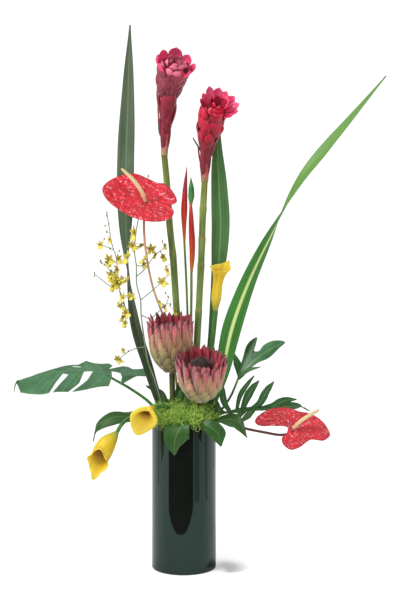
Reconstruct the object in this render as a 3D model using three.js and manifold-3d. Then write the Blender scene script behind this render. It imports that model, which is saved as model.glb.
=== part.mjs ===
// A tall tropical flower arrangement standing in a dark, glossy cylinder vase.
// Millimetres, +Z up. The centre of the vase's bottom face is the origin and the
// arrangement is looked at from -Y, so +X is to the right and +Y is the back.

import * as THREE from 'three';
import { TessellateModifier } from 'three/addons/modifiers/TessellateModifier.js';
import { mergeVertices } from 'three/addons/utils/BufferGeometryUtils.js';
import Module from 'manifold-3d';

const wasm = await Module();
wasm.setup();

// ---------------------------------------------------------------- dimensions
const VASE = { radius: 51, height: 229, wall: 3.5, floor: 6, edge: 1.5, sides: 48 };
const FOAM = { radius: 47, bottom: 6.3, top: 246, sides: 24 };
const MOSS = { inner: 47.7, ceiling: 246.4, bottom: 229.4, lump: 1.8, sides: 26 };
const HOLE = 0.4; // a stem's hole is this much wider than the stem, all round
const GAP = 0.35; // air between a flower head and the stem it sits on
const SLIVER = 0.08; // joined bodies lose details smaller than this
const BLOOM_SLIVER = 0.15; // the same for the gingers' heads of many bracts
const ROOT_Z = 200; // the long stems reach down to this height inside the foam

const LEAF_THICK = 1.0;

// ------------------------------------------------------------- small helpers
const v = (x = 0, y = 0, z = 0) => new THREE.Vector3(x, y, z);
const line = (...rows) => rows.map(([x, y, z]) => v(x, y, z));
const RIGHT = v(1, 0, 0);
const BACK = v(0, 1, 0);
const UP = v(0, 0, 1);

function seeded(seed) {
  let state = seed;
  return () => {
    state = (state * 1664525 + 1013904223) % 4294967296;
    return state / 4294967296;
  };
}

// value at u (0 to 1) from rows of [u, value]; a plain number holds everywhere
function level(rows, u) {
  if (typeof rows === 'number') return rows;
  for (let i = 1; i < rows.length; i += 1) {
    const [u0, low] = rows[i - 1];
    const [u1, high] = rows[i];
    if (u <= u1) return low + ((high - low) * (u - u0)) / (u1 - u0);
  }
  return rows[rows.length - 1][1];
}

function solid(points, faces) {
  const mesh = new wasm.Mesh({
    numProp: 3,
    vertProperties: Float32Array.from(points.flatMap((p) => [p.x, p.y, p.z])),
    triVerts: Uint32Array.from(faces.flat()),
  });
  return new wasm.Manifold(mesh);
}

// body of any closed geometry: shared corners merged, empty triangles dropped
function bodyOf(geometry) {
  const bare = new THREE.BufferGeometry();
  bare.setAttribute('position', geometry.getAttribute('position'));
  bare.setIndex(geometry.getIndex());
  const merged = mergeVertices(bare, 1e-4);
  const corners = merged.getAttribute('position');
  const points = Array.from({ length: corners.count }, (_, i) => v().fromBufferAttribute(corners, i));
  const faces = [];
  for (let i = 0; i < merged.index.count; i += 3) {
    const face = [0, 1, 2].map((k) => merged.index.getX(i + k));
    if (new Set(face).size === 3) faces.push(face);
  }
  return solid(points, faces);
}

function join(solids) {
  return solids.reduce((whole, next) => whole.add(next));
}

// smooths away slivers, drops the crumbs a cut leaves and keeps the main body
function mainBody(whole, sliver = SLIVER) {
  const bodies = whole.simplify(sliver).decompose();
  return bodies.reduce((best, next) => (next.volume() > best.volume() ? next : best));
}

// even steps along a smooth curve, each with a frame: along, side and face
function track(points, steps, across) {
  const curve = new THREE.CatmullRomCurve3(points, false, 'centripetal');
  const rows = [];
  for (let i = 0; i <= steps; i += 1) {
    const u = i / steps;
    const along = curve.getTangentAt(u).normalize();
    const side = across.clone().addScaledVector(along, -across.dot(along)).normalize();
    const face = along.clone().cross(side);
    rows.push({ u, centre: curve.getPointAt(u), along, side, face });
  }
  return rows;
}

// closed body through equal rings of points, capped flat at both ends
function loft(rings) {
  const sides = rings[0].length;
  const points = rings.flat();
  const faces = [];
  for (let row = 0; row + 1 < rings.length; row += 1) {
    for (let k = 0; k < sides; k += 1) {
      const a = row * sides + k;
      const b = row * sides + ((k + 1) % sides);
      faces.push([a, b, b + sides], [a, b + sides, a + sides]);
    }
  }
  const lastRow = (rings.length - 1) * sides;
  for (let k = 1; k + 1 < sides; k += 1) {
    faces.push([0, k + 1, k], [lastRow, lastRow + k, lastRow + k + 1]);
  }
  return solid(points, faces);
}

function ring(row, radius, sides, squash = 1) {
  const points = [];
  for (let k = 0; k < sides; k += 1) {
    const angle = (2 * Math.PI * k) / sides;
    points.push(
      row.centre
        .clone()
        .addScaledVector(row.side, radius * Math.cos(angle))
        .addScaledVector(row.face, radius * squash * Math.sin(angle)),
    );
  }
  return points;
}

// round stem along a smooth curve; `grow` makes the matching, wider hole
function tube(points, radius, options = {}, grow = 0) {
  const { sides = 6, steps = 8, across = BACK, squash = 1 } = options;
  const rows = track(points, steps, across);
  rows[0].centre.addScaledVector(rows[0].along, -grow);
  rows[steps].centre.addScaledVector(rows[steps].along, grow);
  return loft(rows.map((row) => ring(row, level(radius, row.u) + grow, sides, squash)));
}

// body turned round the Z axis from [radius, height] pairs, from axis to axis
function turned(profile, sides) {
  const outline = profile.map(([radius, height]) => new THREE.Vector2(radius, height));
  return bodyOf(new THREE.LatheGeometry(outline, sides).rotateX(Math.PI / 2));
}

// thin two-faced sheet from a grid of { middle, face } rows, split alike on both faces
function sheet(grid, thick) {
  const across = grid[0].length;
  const shifted = (sign) =>
    grid.flat().map(({ middle, face }) => middle.clone().addScaledVector(face, (sign * thick) / 2));
  const points = [...shifted(1), ...shifted(-1)];
  const under = grid.length * across;
  const faces = [];
  const index = (i, k) => i * across + k;
  for (let i = 0; i + 1 < grid.length; i += 1) {
    for (let k = 0; k + 1 < across; k += 1) {
      const [a, b, c, d] = [index(i, k), index(i + 1, k), index(i, k + 1), index(i + 1, k + 1)];
      faces.push([a, b, d], [a, d, c]);
      faces.push([under + a, under + d, under + b], [under + a, under + c, under + d]);
    }
    const [a, b] = [index(i, 0), index(i + 1, 0)];
    faces.push([a, under + a, under + b], [a, under + b, b]);
    const [c, d] = [index(i, across - 1), index(i + 1, across - 1)];
    faces.push([c, under + d, under + c], [c, d, under + d]);
  }
  for (let k = 0; k + 1 < across; k += 1) {
    const [a, c] = [index(0, k), index(0, k + 1)];
    faces.push([a, c, under + c], [a, under + c, under + a]);
    const [b, d] = [index(grid.length - 1, k), index(grid.length - 1, k + 1)];
    faces.push([b, under + d, d], [b, under + b, under + d]);
  }
  return solid(points, faces);
}

// long leaf along a curve: width, roll (degrees) and fold may change along it
function blade(leaf, grow = 0) {
  const { path, across, width, thick = LEAF_THICK, steps = 14, cells = 2 } = leaf;
  const { roll = 0, fold = 0.2, wave = 0, waves = 5 } = leaf;
  const rows = track(path, steps, across);
  rows[0].centre.addScaledVector(rows[0].along, -grow);
  const grid = rows.map((row) => {
    const turn = THREE.MathUtils.degToRad(level(roll, row.u));
    const side = row.side.clone().applyAxisAngle(row.along, turn);
    const face = row.along.clone().cross(side);
    const half = level(width, row.u) / 2 + grow;
    const cellsAcross = [];
    for (let k = 0; k <= cells; k += 1) {
      const place = -1 + (2 * k) / cells;
      const ripple = wave * Math.sin(waves * 2 * Math.PI * row.u + 2 * place) * place * place;
      const lift = level(fold, row.u) * Math.abs(place) * half + ripple;
      const middle = row.centre.clone().addScaledVector(side, place * half);
      cellsAcross.push({ middle: middle.addScaledVector(face, lift), face });
    }
    return cellsAcross;
  });
  return sheet(grid, thick + 2 * grow);
}

// broad leaf with a flat outline, divided into cells and laid on a curved surface
function plate({ outline, opening, thick = LEAF_THICK, cell, place }) {
  const shape = new THREE.Shape(outline.map(([x, y]) => new THREE.Vector2(x, y)));
  if (opening) shape.holes.push(new THREE.Path(opening.map(([x, y]) => new THREE.Vector2(x, y))));
  const slab = new THREE.ExtrudeGeometry(shape, { depth: thick, bevelEnabled: false });
  slab.deleteAttribute('normal');
  slab.deleteAttribute('uv');
  const fine = new TessellateModifier(cell, 9).modify(slab);
  const spots = fine.getAttribute('position');
  const tiny = 0.05;
  for (let i = 0; i < spots.count; i += 1) {
    const [x, y, z] = [spots.getX(i), spots.getY(i), spots.getZ(i)];
    const here = place(x, y);
    const alongX = place(x + tiny, y).sub(here);
    const alongY = place(x, y + tiny).sub(here);
    const spot = here.addScaledVector(alongX.cross(alongY).normalize(), z - thick / 2);
    spots.setXYZ(i, spot.x, spot.y, spot.z);
  }
  return bodyOf(fine);
}

// smooth closed outline through a few measured points
function smooth(corners, count) {
  const curve = new THREE.CatmullRomCurve3(
    corners.map(([x, y]) => v(x, y, 0)),
    true,
    'centripetal',
  );
  return curve.getSpacedPoints(count).slice(0, count).map((p) => [p.x, p.y]);
}

// one cupped bract or petal: edges thin, thickest along its middle
const SPOON = [[0, 0.5], [0.42, 0.9], [0.8, 1], [1, 0.36]]; // [share of length, share of width]
function bract({ root, along, face, length, width, thick, cup, curl }) {
  const side = along.clone().cross(face).normalize();
  const rings = SPOON.map(([u, share]) => {
    const half = (width * share) / 2;
    const spine = root
      .clone()
      .addScaledVector(along, length * u)
      .addScaledVector(face, curl * length * u * u);
    const crown = spine.clone().addScaledVector(face, cup * width * share);
    return [
      crown.clone().addScaledVector(face, thick / 2),
      spine.clone().addScaledVector(side, half),
      crown.clone().addScaledVector(face, -thick / 2),
      spine.clone().addScaledVector(side, -half),
    ];
  });
  return loft(rings);
}

// bracts set round an axis, each at its own height and turn (degrees)
function clothe(rows, shapes) {
  return shapes.map((shape) => {
    const row = rows[Math.round(shape.height * (rows.length - 1))];
    const angle = THREE.MathUtils.degToRad(shape.turn);
    const out = row.side.clone().multiplyScalar(Math.cos(angle));
    out.addScaledVector(row.face, Math.sin(angle));
    const tilt = THREE.MathUtils.degToRad(shape.tilt);
    const along = row.along.clone().multiplyScalar(Math.cos(tilt));
    along.addScaledVector(out, Math.sin(tilt));
    const face = out.clone().multiplyScalar(Math.cos(tilt));
    face.addScaledVector(row.along, -Math.sin(tilt));
    const root = row.centre.clone().addScaledVector(out, shape.radius);
    return bract({ ...shape, root, along, face });
  });
}

// --------------------------------------------------------- parts of the group
const arrangement = new THREE.Group();
arrangement.name = 'tropical_arrangement';
const holes = []; // what the foam and the moss are cut away for

function part(name, body, colour, roughness = 0.6, metalness = 0) {
  const mesh = body.getMesh();
  const stride = mesh.numProp;
  const count = mesh.vertProperties.length / stride;
  const positions = new Float32Array(count * 3);
  for (let i = 0; i < count; i += 1) {
    positions.set(mesh.vertProperties.subarray(i * stride, i * stride + 3), i * 3);
  }
  const geometry = new THREE.BufferGeometry();
  geometry.setAttribute('position', new THREE.BufferAttribute(positions, 3));
  geometry.setIndex([...mesh.triVerts]);
  geometry.computeVertexNormals();
  const material = new THREE.MeshStandardMaterial({ color: colour, roughness, metalness });
  const node = new THREE.Mesh(geometry, material);
  node.name = name;
  arrangement.add(node);
}

// a piece that stands in the foam: `make` gives the body, or its wider hole
function planted(name, make, colour, roughness = 0.55) {
  holes.push(make(HOLE));
  part(name, make(0), colour, roughness);
}

// a head on a stem: cut clear of the stem's tip
function head(name, body, stem, colour, roughness, sliver = SLIVER) {
  part(name, mainBody(body.simplify(sliver).subtract(stem(GAP)), sliver), colour, roughness);
}

// ---------------------------------------------------------------- long leaves
const FLAX_LEAF = {
  path: line(
    [-31, 8, ROOT_Z], [-34, 8, 245], [-47, 9, 276], [-63, 11, 326], [-77, 14, 374], [-85, 18, 434],
    [-92, 22, 500], [-95, 27, 580], [-95, 28, 650], [-92, 27, 740], [-88, 26, 870],
  ),
  across: RIGHT,
  width: [[0, 12], [0.08, 13], [0.2, 19], [0.4, 24], [0.6, 29], [0.75, 27], [0.9, 15], [1, 1.2]],
  thick: 1.4,
  roll: [[0, 50], [0.2, 55], [0.35, 78], [0.42, 90], [0.52, 140], [0.62, 172], [1, 180]],
  fold: [[0, 0.1], [0.3, 0.22], [0.6, 0.14], [1, 0.1]],
  steps: 24,
};
planted('flax_leaf', (grow) => blade(FLAX_LEAF, grow), 0x52664f, 0.5);

const BACK_LEAF = {
  path: line(
    [24, 31, ROOT_Z], [28, 32, 250], [36, 33, 302], [43, 33, 349], [50, 33, 430], [56, 33, 486],
    [59, 32, 548], [57, 31, 600], [54, 31, 668], [56, 30, 722],
  ),
  across: RIGHT,
  width: [[0, 9], [0.28, 11], [0.45, 15], [0.6, 28], [0.7, 30], [0.83, 24], [0.94, 10], [1, 1.2]],
  thick: 1.4,
  roll: [[0, 10], [1, -10]],
  fold: 0.24,
  steps: 16,
};
planted('back_leaf', (grow) => blade(BACK_LEAF, grow), 0x4c7f47, 0.5);

const STRIPED_LEAF = {
  path: line(
    [33, 4, ROOT_Z], [38, 4, 243], [48, 6, 266], [61, 8, 308], [77, 12, 379], [102, 16, 448],
    [135, 20, 518], [189, 22, 618], [227, 22, 668], [264, 22, 712], [326, 20, 786],
  ),
  across: RIGHT,
  width: [[0, 9], [0.08, 10], [0.16, 22], [0.27, 32], [0.4, 27], [0.6, 25], [0.76, 24], [0.9, 12], [1, 1.2]],
  thick: 1.4,
  roll: [[0, 0], [0.3, 4], [0.5, 50], [0.62, 100], [0.75, 165], [1, 178]],
  fold: [[0, 0.1], [0.3, 0.2], [1, 0.16]],
  steps: 26,
};
planted('striped_leaf', (grow) => blade(STRIPED_LEAF, grow), 0x3c8a3e, 0.5);

// ---------------------------------------------------------- red torch gingers
// the stem swells a little at each sheath joint
function jointed(base, joints) {
  const rows = [[0, base]];
  joints.forEach((u) => {
    rows.push([u - 0.02, base + 0.1], [u, base + 0.9], [u + 0.04, base - 0.1]);
  });
  rows.push([1, base - 0.6]);
  return rows;
}

const gingerLeftStem = (grow) =>
  tube(
    line(
      [-1, 21, ROOT_Z], [-2, 22, 262], [-4, 26, 324], [-12, 28, 402], [-18, 26, 492], [-24, 24, 549],
      [-28, 22, 613], [-32, 19, 657],
    ),
    jointed(5.5, [0.36, 0.66, 0.84]),
    { sides: 7, steps: 18 },
    grow,
  );
planted('ginger_left_stem', gingerLeftStem, 0x7f9a4a);

// a solid trumpet of sheaths, with spoon-shaped bracts spread round its mouth
function gingerHead({ axis, girth, bracts, snag }) {
  const rows = track(axis, 24, RIGHT);
  const trumpet = loft(rows.filter((row, i) => i % 3 === 0).map((row) => ring(row, level(girth, row.u), 11)));
  const stub = tube(snag, [[0, 2], [1, 1]], { sides: 4, steps: 2, across: RIGHT });
  return join([trumpet, stub, ...clothe(rows, bracts)]);
}

// [turn, height, radius, tilt, length, width] of one bract
function spoon([turn, height, radius, tilt, length, width]) {
  return { turn, height, radius, tilt, length, width, thick: 1.5, cup: 0.2, curl: -0.08 };
}

const LEFT_BRACTS = [
  [90, 0.94, 17, 22, 28, 22], [48, 0.94, 17, 26, 25, 20], [8, 0.94, 17, 30, 25, 20],
  [-34, 0.95, 17, 34, 22, 19], [-78, 0.96, 17, 30, 17, 19], [-122, 0.96, 17, 26, 18, 19],
  [-164, 0.95, 17, 26, 24, 20], [134, 0.94, 17, 24, 26, 20],
  [70, 1, 9, 12, 20, 16], [-50, 1, 9, 12, 15, 15], [190, 1, 9, 12, 17, 15],
  [20, 1, 3, 6, 17, 13],
];
head(
  'ginger_left_bloom',
  gingerHead({
    axis: line(
      [-32, 19, 657], [-31, 18, 690], [-28, 14, 725], [-25, 7, 755], [-20, -4, 776], [-16, -16, 788],
    ),
    girth: [[0, 5.4], [0.23, 7.2], [0.34, 9], [0.47, 11], [0.7, 15.5], [0.87, 20], [1, 22]],
    bracts: LEFT_BRACTS.map(spoon),
    snag: line([-34, 17, 684], [-39, 17, 692], [-42, 17, 716]),
  }),
  gingerLeftStem,
  0xb01e3c,
  0.5,
  BLOOM_SLIVER,
);

const gingerRightStem = (grow) =>
  tube(
    line(
      [16, 14, ROOT_Z], [16, 14, 262], [19, 14, 324], [23, 14, 400], [28, 14, 500], [30, 14, 560],
      [33, 14, 614],
    ),
    jointed(5.5, [0.5, 0.68, 0.78, 0.9]),
    { sides: 7, steps: 18 },
    grow,
  );
planted('ginger_right_stem', gingerRightStem, 0x7c9448);

const RIGHT_BRACTS = [
  [86, 0.96, 6, 58, 36, 18], [114, 0.95, 6, 56, 36, 16], [62, 1, 5, 50, 31, 15],
  [42, 0.96, 7, 60, 36, 18], [16, 0.97, 7, 62, 34, 18], [-10, 0.98, 7, 62, 31, 17],
  [-38, 0.98, 7, 60, 28, 16], [142, 0.94, 6, 56, 35, 15], [170, 0.94, 6, 56, 34, 15],
  [200, 0.95, 6, 54, 30, 15], [-72, 0.98, 6, 52, 24, 15], [240, 0.97, 6, 50, 24, 15],
  [100, 1, 2, 24, 22, 12], [-20, 1, 2, 24, 20, 12], [220, 1, 2, 24, 18, 12],
  [-12, 0.56, 8, 34, 28, 15],
];
head(
  'ginger_right_bloom',
  gingerHead({
    axis: line([33, 14, 614], [33.5, 13.5, 644], [36, 11, 666], [39, 5, 688], [43, -4, 710], [49, -19, 723]),
    girth: [[0, 5.8], [0.25, 7.8], [0.44, 10], [0.63, 14.5], [0.8, 19], [0.9, 20], [1, 14]],
    bracts: RIGHT_BRACTS.map(spoon),
    snag: line([31, 14, 658], [25, 14, 667], [14, 14, 685]),
  }),
  gingerRightStem,
  0xb81d3e,
  0.5,
  BLOOM_SLIVER,
);

// ----------------------------------------------------- slender red heliconias
const heliconiaLeftStem = (grow) =>
  tube(
    line([4, 35, ROOT_Z], [4, 35, 262], [5, 37, 343], [5, 38, 398], [3, 38, 457], [0, 36, 518]),
    1.8,
    { steps: 8 },
    grow,
  );
const heliconiaRightStem = (grow) =>
  tube(
    line([12, 32, ROOT_Z], [12, 32, 262], [11, 32, 343], [11, 33, 398], [11.5, 33, 440], [11.5, 32, 468]),
    2.2,
    { steps: 8 },
    grow,
  );
planted('heliconia_left_stem', heliconiaLeftStem, 0x7f9b4d);
planted('heliconia_right_stem', heliconiaRightStem, 0x7f9b4d);

function spindle(points, radius, grow = 0) {
  return tube(points, radius, { sides: 6, steps: 7, squash: 0.7, across: RIGHT }, grow);
}
const rightBract = (grow) =>
  spindle(
    line([11.5, 32, 468], [13, 31, 505], [11.5, 30, 546], [10.5, 30, 579]),
    [[0, 2], [0.2, 4.2], [0.5, 5.2], [0.8, 4], [1, 2.4]],
    grow,
  );
head(
  'heliconia_left_bract',
  spindle(
    line([0, 36, 518], [-0.5, 36, 562], [1, 36, 603], [4, 36, 641]),
    [[0, 1.8], [0.2, 3.4], [0.42, 5.4], [0.65, 4.2], [0.85, 2.4], [1, 0.5]],
  ),
  heliconiaLeftStem,
  0xc5402a,
  0.45,
);
head('heliconia_right_bract', rightBract(0), heliconiaRightStem, 0xd0502a, 0.45);
head(
  'heliconia_green_tip',
  spindle(
    line([10.5, 30, 579], [11.5, 30, 600], [10.5, 30, 624]),
    [[0, 2.6], [0.3, 5.2], [0.6, 4.6], [1, 0.5]],
  ),
  rightBract,
  0x2f8a3a,
  0.45,
);

// -------------------------------------------------------------- red anthuriums
const anthuriumTopStem = (grow) =>
  tube(
    line(
      [-8, 10, ROOT_Z], [-9, 12, 250], [-13, 22, 292], [-20, 30, 343], [-35, 27, 400], [-49, 11, 440],
      [-57, -1, 478], [-62, -8, 515], [-63, -14, 550], [-60.5, -22.4, 575.2],
    ),
    2.1,
    { sides: 6, steps: 18 },
    grow,
  );
planted('anthurium_top_stem', anthuriumTopStem, 0x9a7d5e);

const anthuriumSideStem = (grow) =>
  tube(
    line(
      [20, -2, 236], [46, -12, 236], [64, -20, 233], [96, -26, 223], [127, -29, 217], [150, -31, 213.5],
      [162, -32, 215], [170, -32, 220],
    ),
    2.1,
    { sides: 6, steps: 12 },
    grow,
  );
planted('anthurium_side_stem', anthuriumSideStem, 0x4c2f22);

// glossy hearts: flat near the spadix, puckered between the veins
const PUCKER = { height: 1.3, width: 6.5, flat: 900 };
function pucker(x, y, away) {
  const edge = Math.min(1, away / PUCKER.flat);
  return PUCKER.height * Math.sin(x / PUCKER.width) * Math.sin(y / PUCKER.width) * edge;
}

const TOP_HEART = {
  outline: smooth(
    [
      [-129, 602], [-110, 621], [-80, 628], [-56, 618], [-44, 612], [-30, 609], [-14, 590],
      [-11, 577], [-20, 571], [-15, 561], [-20, 549], [-46, 544], [-72, 549], [-100, 564], [-122, 583],
    ],
    30,
  ),
  centre: [-60, 579],
  slope: 0.9,
};
head(
  'anthurium_top_spathe',
  plate({
    outline: TOP_HEART.outline,
    thick: 1.1,
    cell: 21,
    place: (x, z) => {
      const away = (x - TOP_HEART.centre[0]) ** 2 + (z - TOP_HEART.centre[1]) ** 2;
      return v(x, -18 + TOP_HEART.slope * (z - 583) - 0.0016 * away + pucker(x, z, away), z);
    },
  }),
  anthuriumTopStem,
  0xc8182f,
  0.22,
);

const SIDE_HEART = {
  outline: smooth(
    [
      [112, -18], [122, -5], [140, 3], [160, 5], [186, -3], [212, -10], [224, -25], [228, -37],
      [219, -45], [197, -47], [178, -57], [165, -61], [153, -54], [152, -44], [161, -35], [162, -28],
      [150, -25], [124, -25],
    ],
    32,
  ),
  centre: [171, -31],
  slope: 0.88,
};
head(
  'anthurium_side_spathe',
  plate({
    outline: SIDE_HEART.outline,
    thick: 1.1,
    cell: 21,
    place: (x, y) => {
      const away = (x - SIDE_HEART.centre[0]) ** 2 + (y - SIDE_HEART.centre[1]) ** 2;
      return v(x, y, 222 + SIDE_HEART.slope * (y + 31) + pucker(x, y, away) - 0.0006 * away);
    },
  }),
  anthuriumSideStem,
  0xc8182f,
  0.22,
);

const SPADIX = { sides: 8, steps: 6 };
part(
  'anthurium_top_spadix',
  tube(
    line([-60, -24.7, 578.3], [-65, -34, 592], [-78, -42, 610], [-96, -46, 627]),
    [[0, 2.2], [0.15, 3.3], [0.7, 3], [1, 1.4]],
    SPADIX,
  ),
  0xe9d8a0,
);
part(
  'anthurium_side_spadix',
  tube(
    line([171, -32.5, 223.9], [183, -40, 237], [196, -42, 246], [210, -42, 254]),
    [[0, 2.2], [0.15, 3.2], [0.7, 2.9], [1, 1.3]],
    SPADIX,
  ),
  0xe9d8a0,
);

// --------------------------------------------------------------------- proteas
const proteaLeftStem = (grow) =>
  tube(line([-18, -6, ROOT_Z], [-18, -6, 262], [-19, -9.9, 307]), 4.5, { sides: 7, steps: 5 }, grow);
const proteaRightStem = (grow) =>
  tube(line([21, -15, ROOT_Z], [22, -19, 232], [26, -31.9, 266]), 4.5, { sides: 7, steps: 5 }, grow);
planted('protea_left_stem', proteaLeftStem, 0x5f6b3a);
planted('protea_right_stem', proteaRightStem, 0x5f6b3a);

// a goblet of overlapping bracts, drawn as one toothed cup: `teeth` tips round its
// rim, diamond scales in low relief on its foot, and a floor the florets stand on
const GOBLET = {
  teeth: 17,
  heights: [0, 0.06, 0.14, 0.23, 0.32, 0.42, 0.56, 0.76],
  scaled: 5, // the lowest rings that carry the scales
  relief: 1.1,
  flute: 1,
  notch: 0.83,
  lip: 1.5,
  wall: 4,
  floor: 0.58,
};
function goblet(rows, girth, length, seed) {
  const random = seeded(seed);
  const { teeth, relief, flute, lip } = GOBLET;
  const tops = Array.from({ length: 2 * teeth }, (_, k) => {
    if (k % 2 === 1) return GOBLET.notch + 0.03 * random();
    return (k % 4 === 0 ? 0.99 : 0.94) - 0.04 * random();
  });
  const { centre, along, side, face } = rows[0];
  const spot = (k, height, radius) => {
    const angle = (Math.PI * k) / teeth;
    return centre
      .clone()
      .addScaledVector(along, height * length)
      .addScaledVector(side, radius * Math.cos(angle))
      .addScaledVector(face, radius * Math.sin(angle));
  };
  const around = (point) => tops.map((top, k) => point(k, top));
  const outside = GOBLET.heights.map((height, row) =>
    around((k) => {
      const scale = row > 0 && row < GOBLET.scaled ? relief * Math.cos((Math.PI / 2) * (k + 2 * row)) : 0;
      const ridge = row < GOBLET.scaled ? 0 : flute * (k % 2 === 0 ? 1 : -1);
      return spot(k, height, level(girth, height) + scale + ridge);
    }),
  );
  const rim = around((k, top) => spot(k, top, level(girth, top) + (k % 4 === 0 ? flute : -flute)));
  const insideRim = around((k, top) => spot(k, top - 0.01, level(girth, top) - lip - flute));
  const insideWall = around((k) => spot(k, GOBLET.floor + 0.1, level(girth, 0.7) - GOBLET.wall));
  const floor = around((k) => spot(k, GOBLET.floor, level(girth, 0.6) - GOBLET.wall - 2));
  return loft([...outside, rim, insideRim, insideWall, floor]);
}

const DOME = [[0, 21], [0.3, 20.6], [0.55, 17.6], [0.75, 13], [0.9, 7.6], [1, 1.6]];
function protea(name, { base, top, girth, dome, seed }, stem) {
  const rows = track([base, base.clone().lerp(top, 0.5), top], 2, RIGHT);
  const length = base.distanceTo(top);
  head(`${name}_bloom`, goblet(rows, girth, length, seed), stem, 0xb8606a, 0.8);

  // a domed mass of closed florets standing on the goblet's floor
  const foot = base.clone().addScaledVector(rows[0].along, GOBLET.floor * length + GAP);
  const crest = foot.clone().addScaledVector(rows[0].along, dome);
  const domeRows = track([foot, foot.clone().lerp(crest, 0.5), crest], 6, RIGHT);
  part(`${name}_dome`, loft(domeRows.map((row) => ring(row, level(DOME, row.u), 12))), 0x3a2430, 0.9);
}
protea(
  'protea_left',
  {
    base: v(-19, -10, 307),
    top: v(-22, -16, 404),
    girth: [[0, 4.8], [0.06, 10], [0.14, 17], [0.23, 23], [0.32, 27], [0.42, 29.5], [0.76, 33], [1, 35]],
    dome: 25,
    seed: 5,
  },
  proteaLeftStem,
);
protea(
  'protea_right',
  {
    base: v(26, -32, 266),
    top: v(27.8, -62.6, 341.6),
    girth: [[0, 4.8], [0.06, 10], [0.14, 17], [0.23, 23], [0.32, 27], [0.42, 30], [0.76, 36], [1, 38]],
    dome: 27,
    seed: 9,
  },
  proteaRightStem,
);

// ---------------------------------------------------------------- yellow callas
// a rolled trumpet with one pointed lip; `lip` is the side its point leans to
const CALLA = {
  sides: 14,
  wall: 1.3,
  outside: [0, 0.16, 0.38, 0.6, 0.8, 1],
  inside: [0.985, 0.8, 0.6, 0.38],
};
function calla(name, { base, axis, lip, length, mouth, flare, slant }, stem) {
  const along = axis.clone().normalize();
  const side = lip.clone().addScaledVector(along, -lip.dot(along)).normalize();
  const face = along.clone().cross(side);
  const profile = [[0, 3.4], [0.16, 6.4], [0.38, 8.6], [0.6, 10], [0.8, mouth * 0.82], [1, mouth]];
  const makeRing = (s, inset) => {
    const points = [];
    for (let k = 0; k < CALLA.sides; k += 1) {
      const angle = (2 * Math.PI * k) / CALLA.sides;
      const towardsLip = Math.cos(angle);
      const point = 0.3 * Math.max(0, towardsLip) ** 5;
      const reach = level(profile, s) * (1 + s ** 4 * (point - flare * towardsLip * 0.5)) - inset;
      const rise = length * s * (1 - slant * s ** 2 * (1 - towardsLip) * 0.5) - inset * s;
      points.push(
        base
          .clone()
          .addScaledVector(along, rise)
          .addScaledVector(side, reach * Math.cos(angle))
          .addScaledVector(face, reach * Math.sin(angle)),
      );
    }
    return points;
  };
  const trumpet = loft([
    ...CALLA.outside.map((s) => makeRing(s, 0)),
    ...CALLA.inside.map((s) => makeRing(s, CALLA.wall)),
  ]);
  const root = base.clone().addScaledVector(along, length * 0.34);
  const crest = base.clone().addScaledVector(along, length * 0.66);
  const spadix = tube([root, root.clone().lerp(crest, 0.5), crest], [[0, 3], [0.7, 2.8], [1, 1.4]], {
    sides: 6,
    steps: 3,
    across: side,
  });
  head(name, trumpet.add(spadix), stem, 0xe6c62c, 0.5);
}

const callaUprightStem = (grow) =>
  tube(
    line([27, 17, ROOT_Z], [29, 17, 255], [37, 15, 308], [44, 13, 350], [49.8, 12.1, 406]),
    3.2,
    { steps: 8 },
    grow,
  );
planted('calla_upright_stem', callaUprightStem, 0x4f8f45);
calla(
  'calla_upright_bloom',
  {
    base: v(50, 12, 406),
    axis: v(0.13, -0.1, 1),
    lip: v(1, -0.2, 0),
    length: 86,
    mouth: 15,
    flare: 0.1,
    slant: 0.1,
  },
  callaUprightStem,
);

const callaFrontStem = (grow) =>
  tube(
    line([-20, -25, ROOT_Z], [-20, -25, 240], [-25, -33, 256], [-33, -41, 260], [-43.8, -48.8, 257.2]),
    3.1,
    { steps: 9, across: RIGHT },
    grow,
  );
planted('calla_front_stem', callaFrontStem, 0x5b9145);
calla(
  'calla_front_bloom',
  {
    base: v(-44, -49, 257),
    axis: v(-26, -30, -12),
    lip: v(-0.2, -0.2, -1),
    length: 50,
    mouth: 19,
    flare: -0.1,
    slant: 0.25,
  },
  callaFrontStem,
);

const callaDroopingStem = (grow) =>
  tube(
    line(
      [-28, -17, 237], [-47, -28, 239], [-64, -36, 245], [-84, -40, 241], [-96, -41.5, 231],
      [-102.9, -42, 219.2],
    ),
    3.1,
    { steps: 11 },
    grow,
  );
planted('calla_drooping_stem', callaDroopingStem, 0x5b9145);
calla(
  'calla_drooping_bloom',
  {
    base: v(-103, -42, 219),
    axis: v(-0.45, -0.12, -0.9),
    lip: v(0.9, -0.2, -0.4),
    length: 76,
    mouth: 15.5,
    flare: 0.6,
    slant: 0.3,
  },
  callaDroopingStem,
);

// -------------------------------------------------------- big split leaf, left
const SPLIT_LEAF = {
  outline: [
    [-267, -6], [-242, 3], [-220, 17], [-195, 29], [-173, 37], [-163, 55], [-149, 44], [-137, 39],
    [-123, 42], [-117, 35], [-122, 20], [-111, 31], [-101, 42], [-92, 43], [-84, 35], [-73, 38],
    [-62, 44], [-56, 15], [-75, 9], [-100, -20], [-99, 0], [-103, 12], [-117, 14], [-114, -4],
    [-115, -10], [-117, -29], [-149, -38],
    // two slits run in from the lower edge
    [-173, -45], [-152, -14], [-146, 9], [-160, 8], [-164, -22], [-178, -46],
    [-202, -48], [-184, -2], [-193, 2], [-201, -24], [-207, -48],
    [-216, -49], [-253, -39],
  ],
  opening: [[-184, 27], [-168, 25], [-168, 28], [-178, 30]],
};
function splitLeafSurface(x, y) {
  const bow = 6 - 0.0009 * (x + 170) ** 2;
  const fold = 0.1 * Math.abs(y - 6);
  return v(x, y, 304 + 0.42 * (y - 8) + bow - fold);
}
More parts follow.
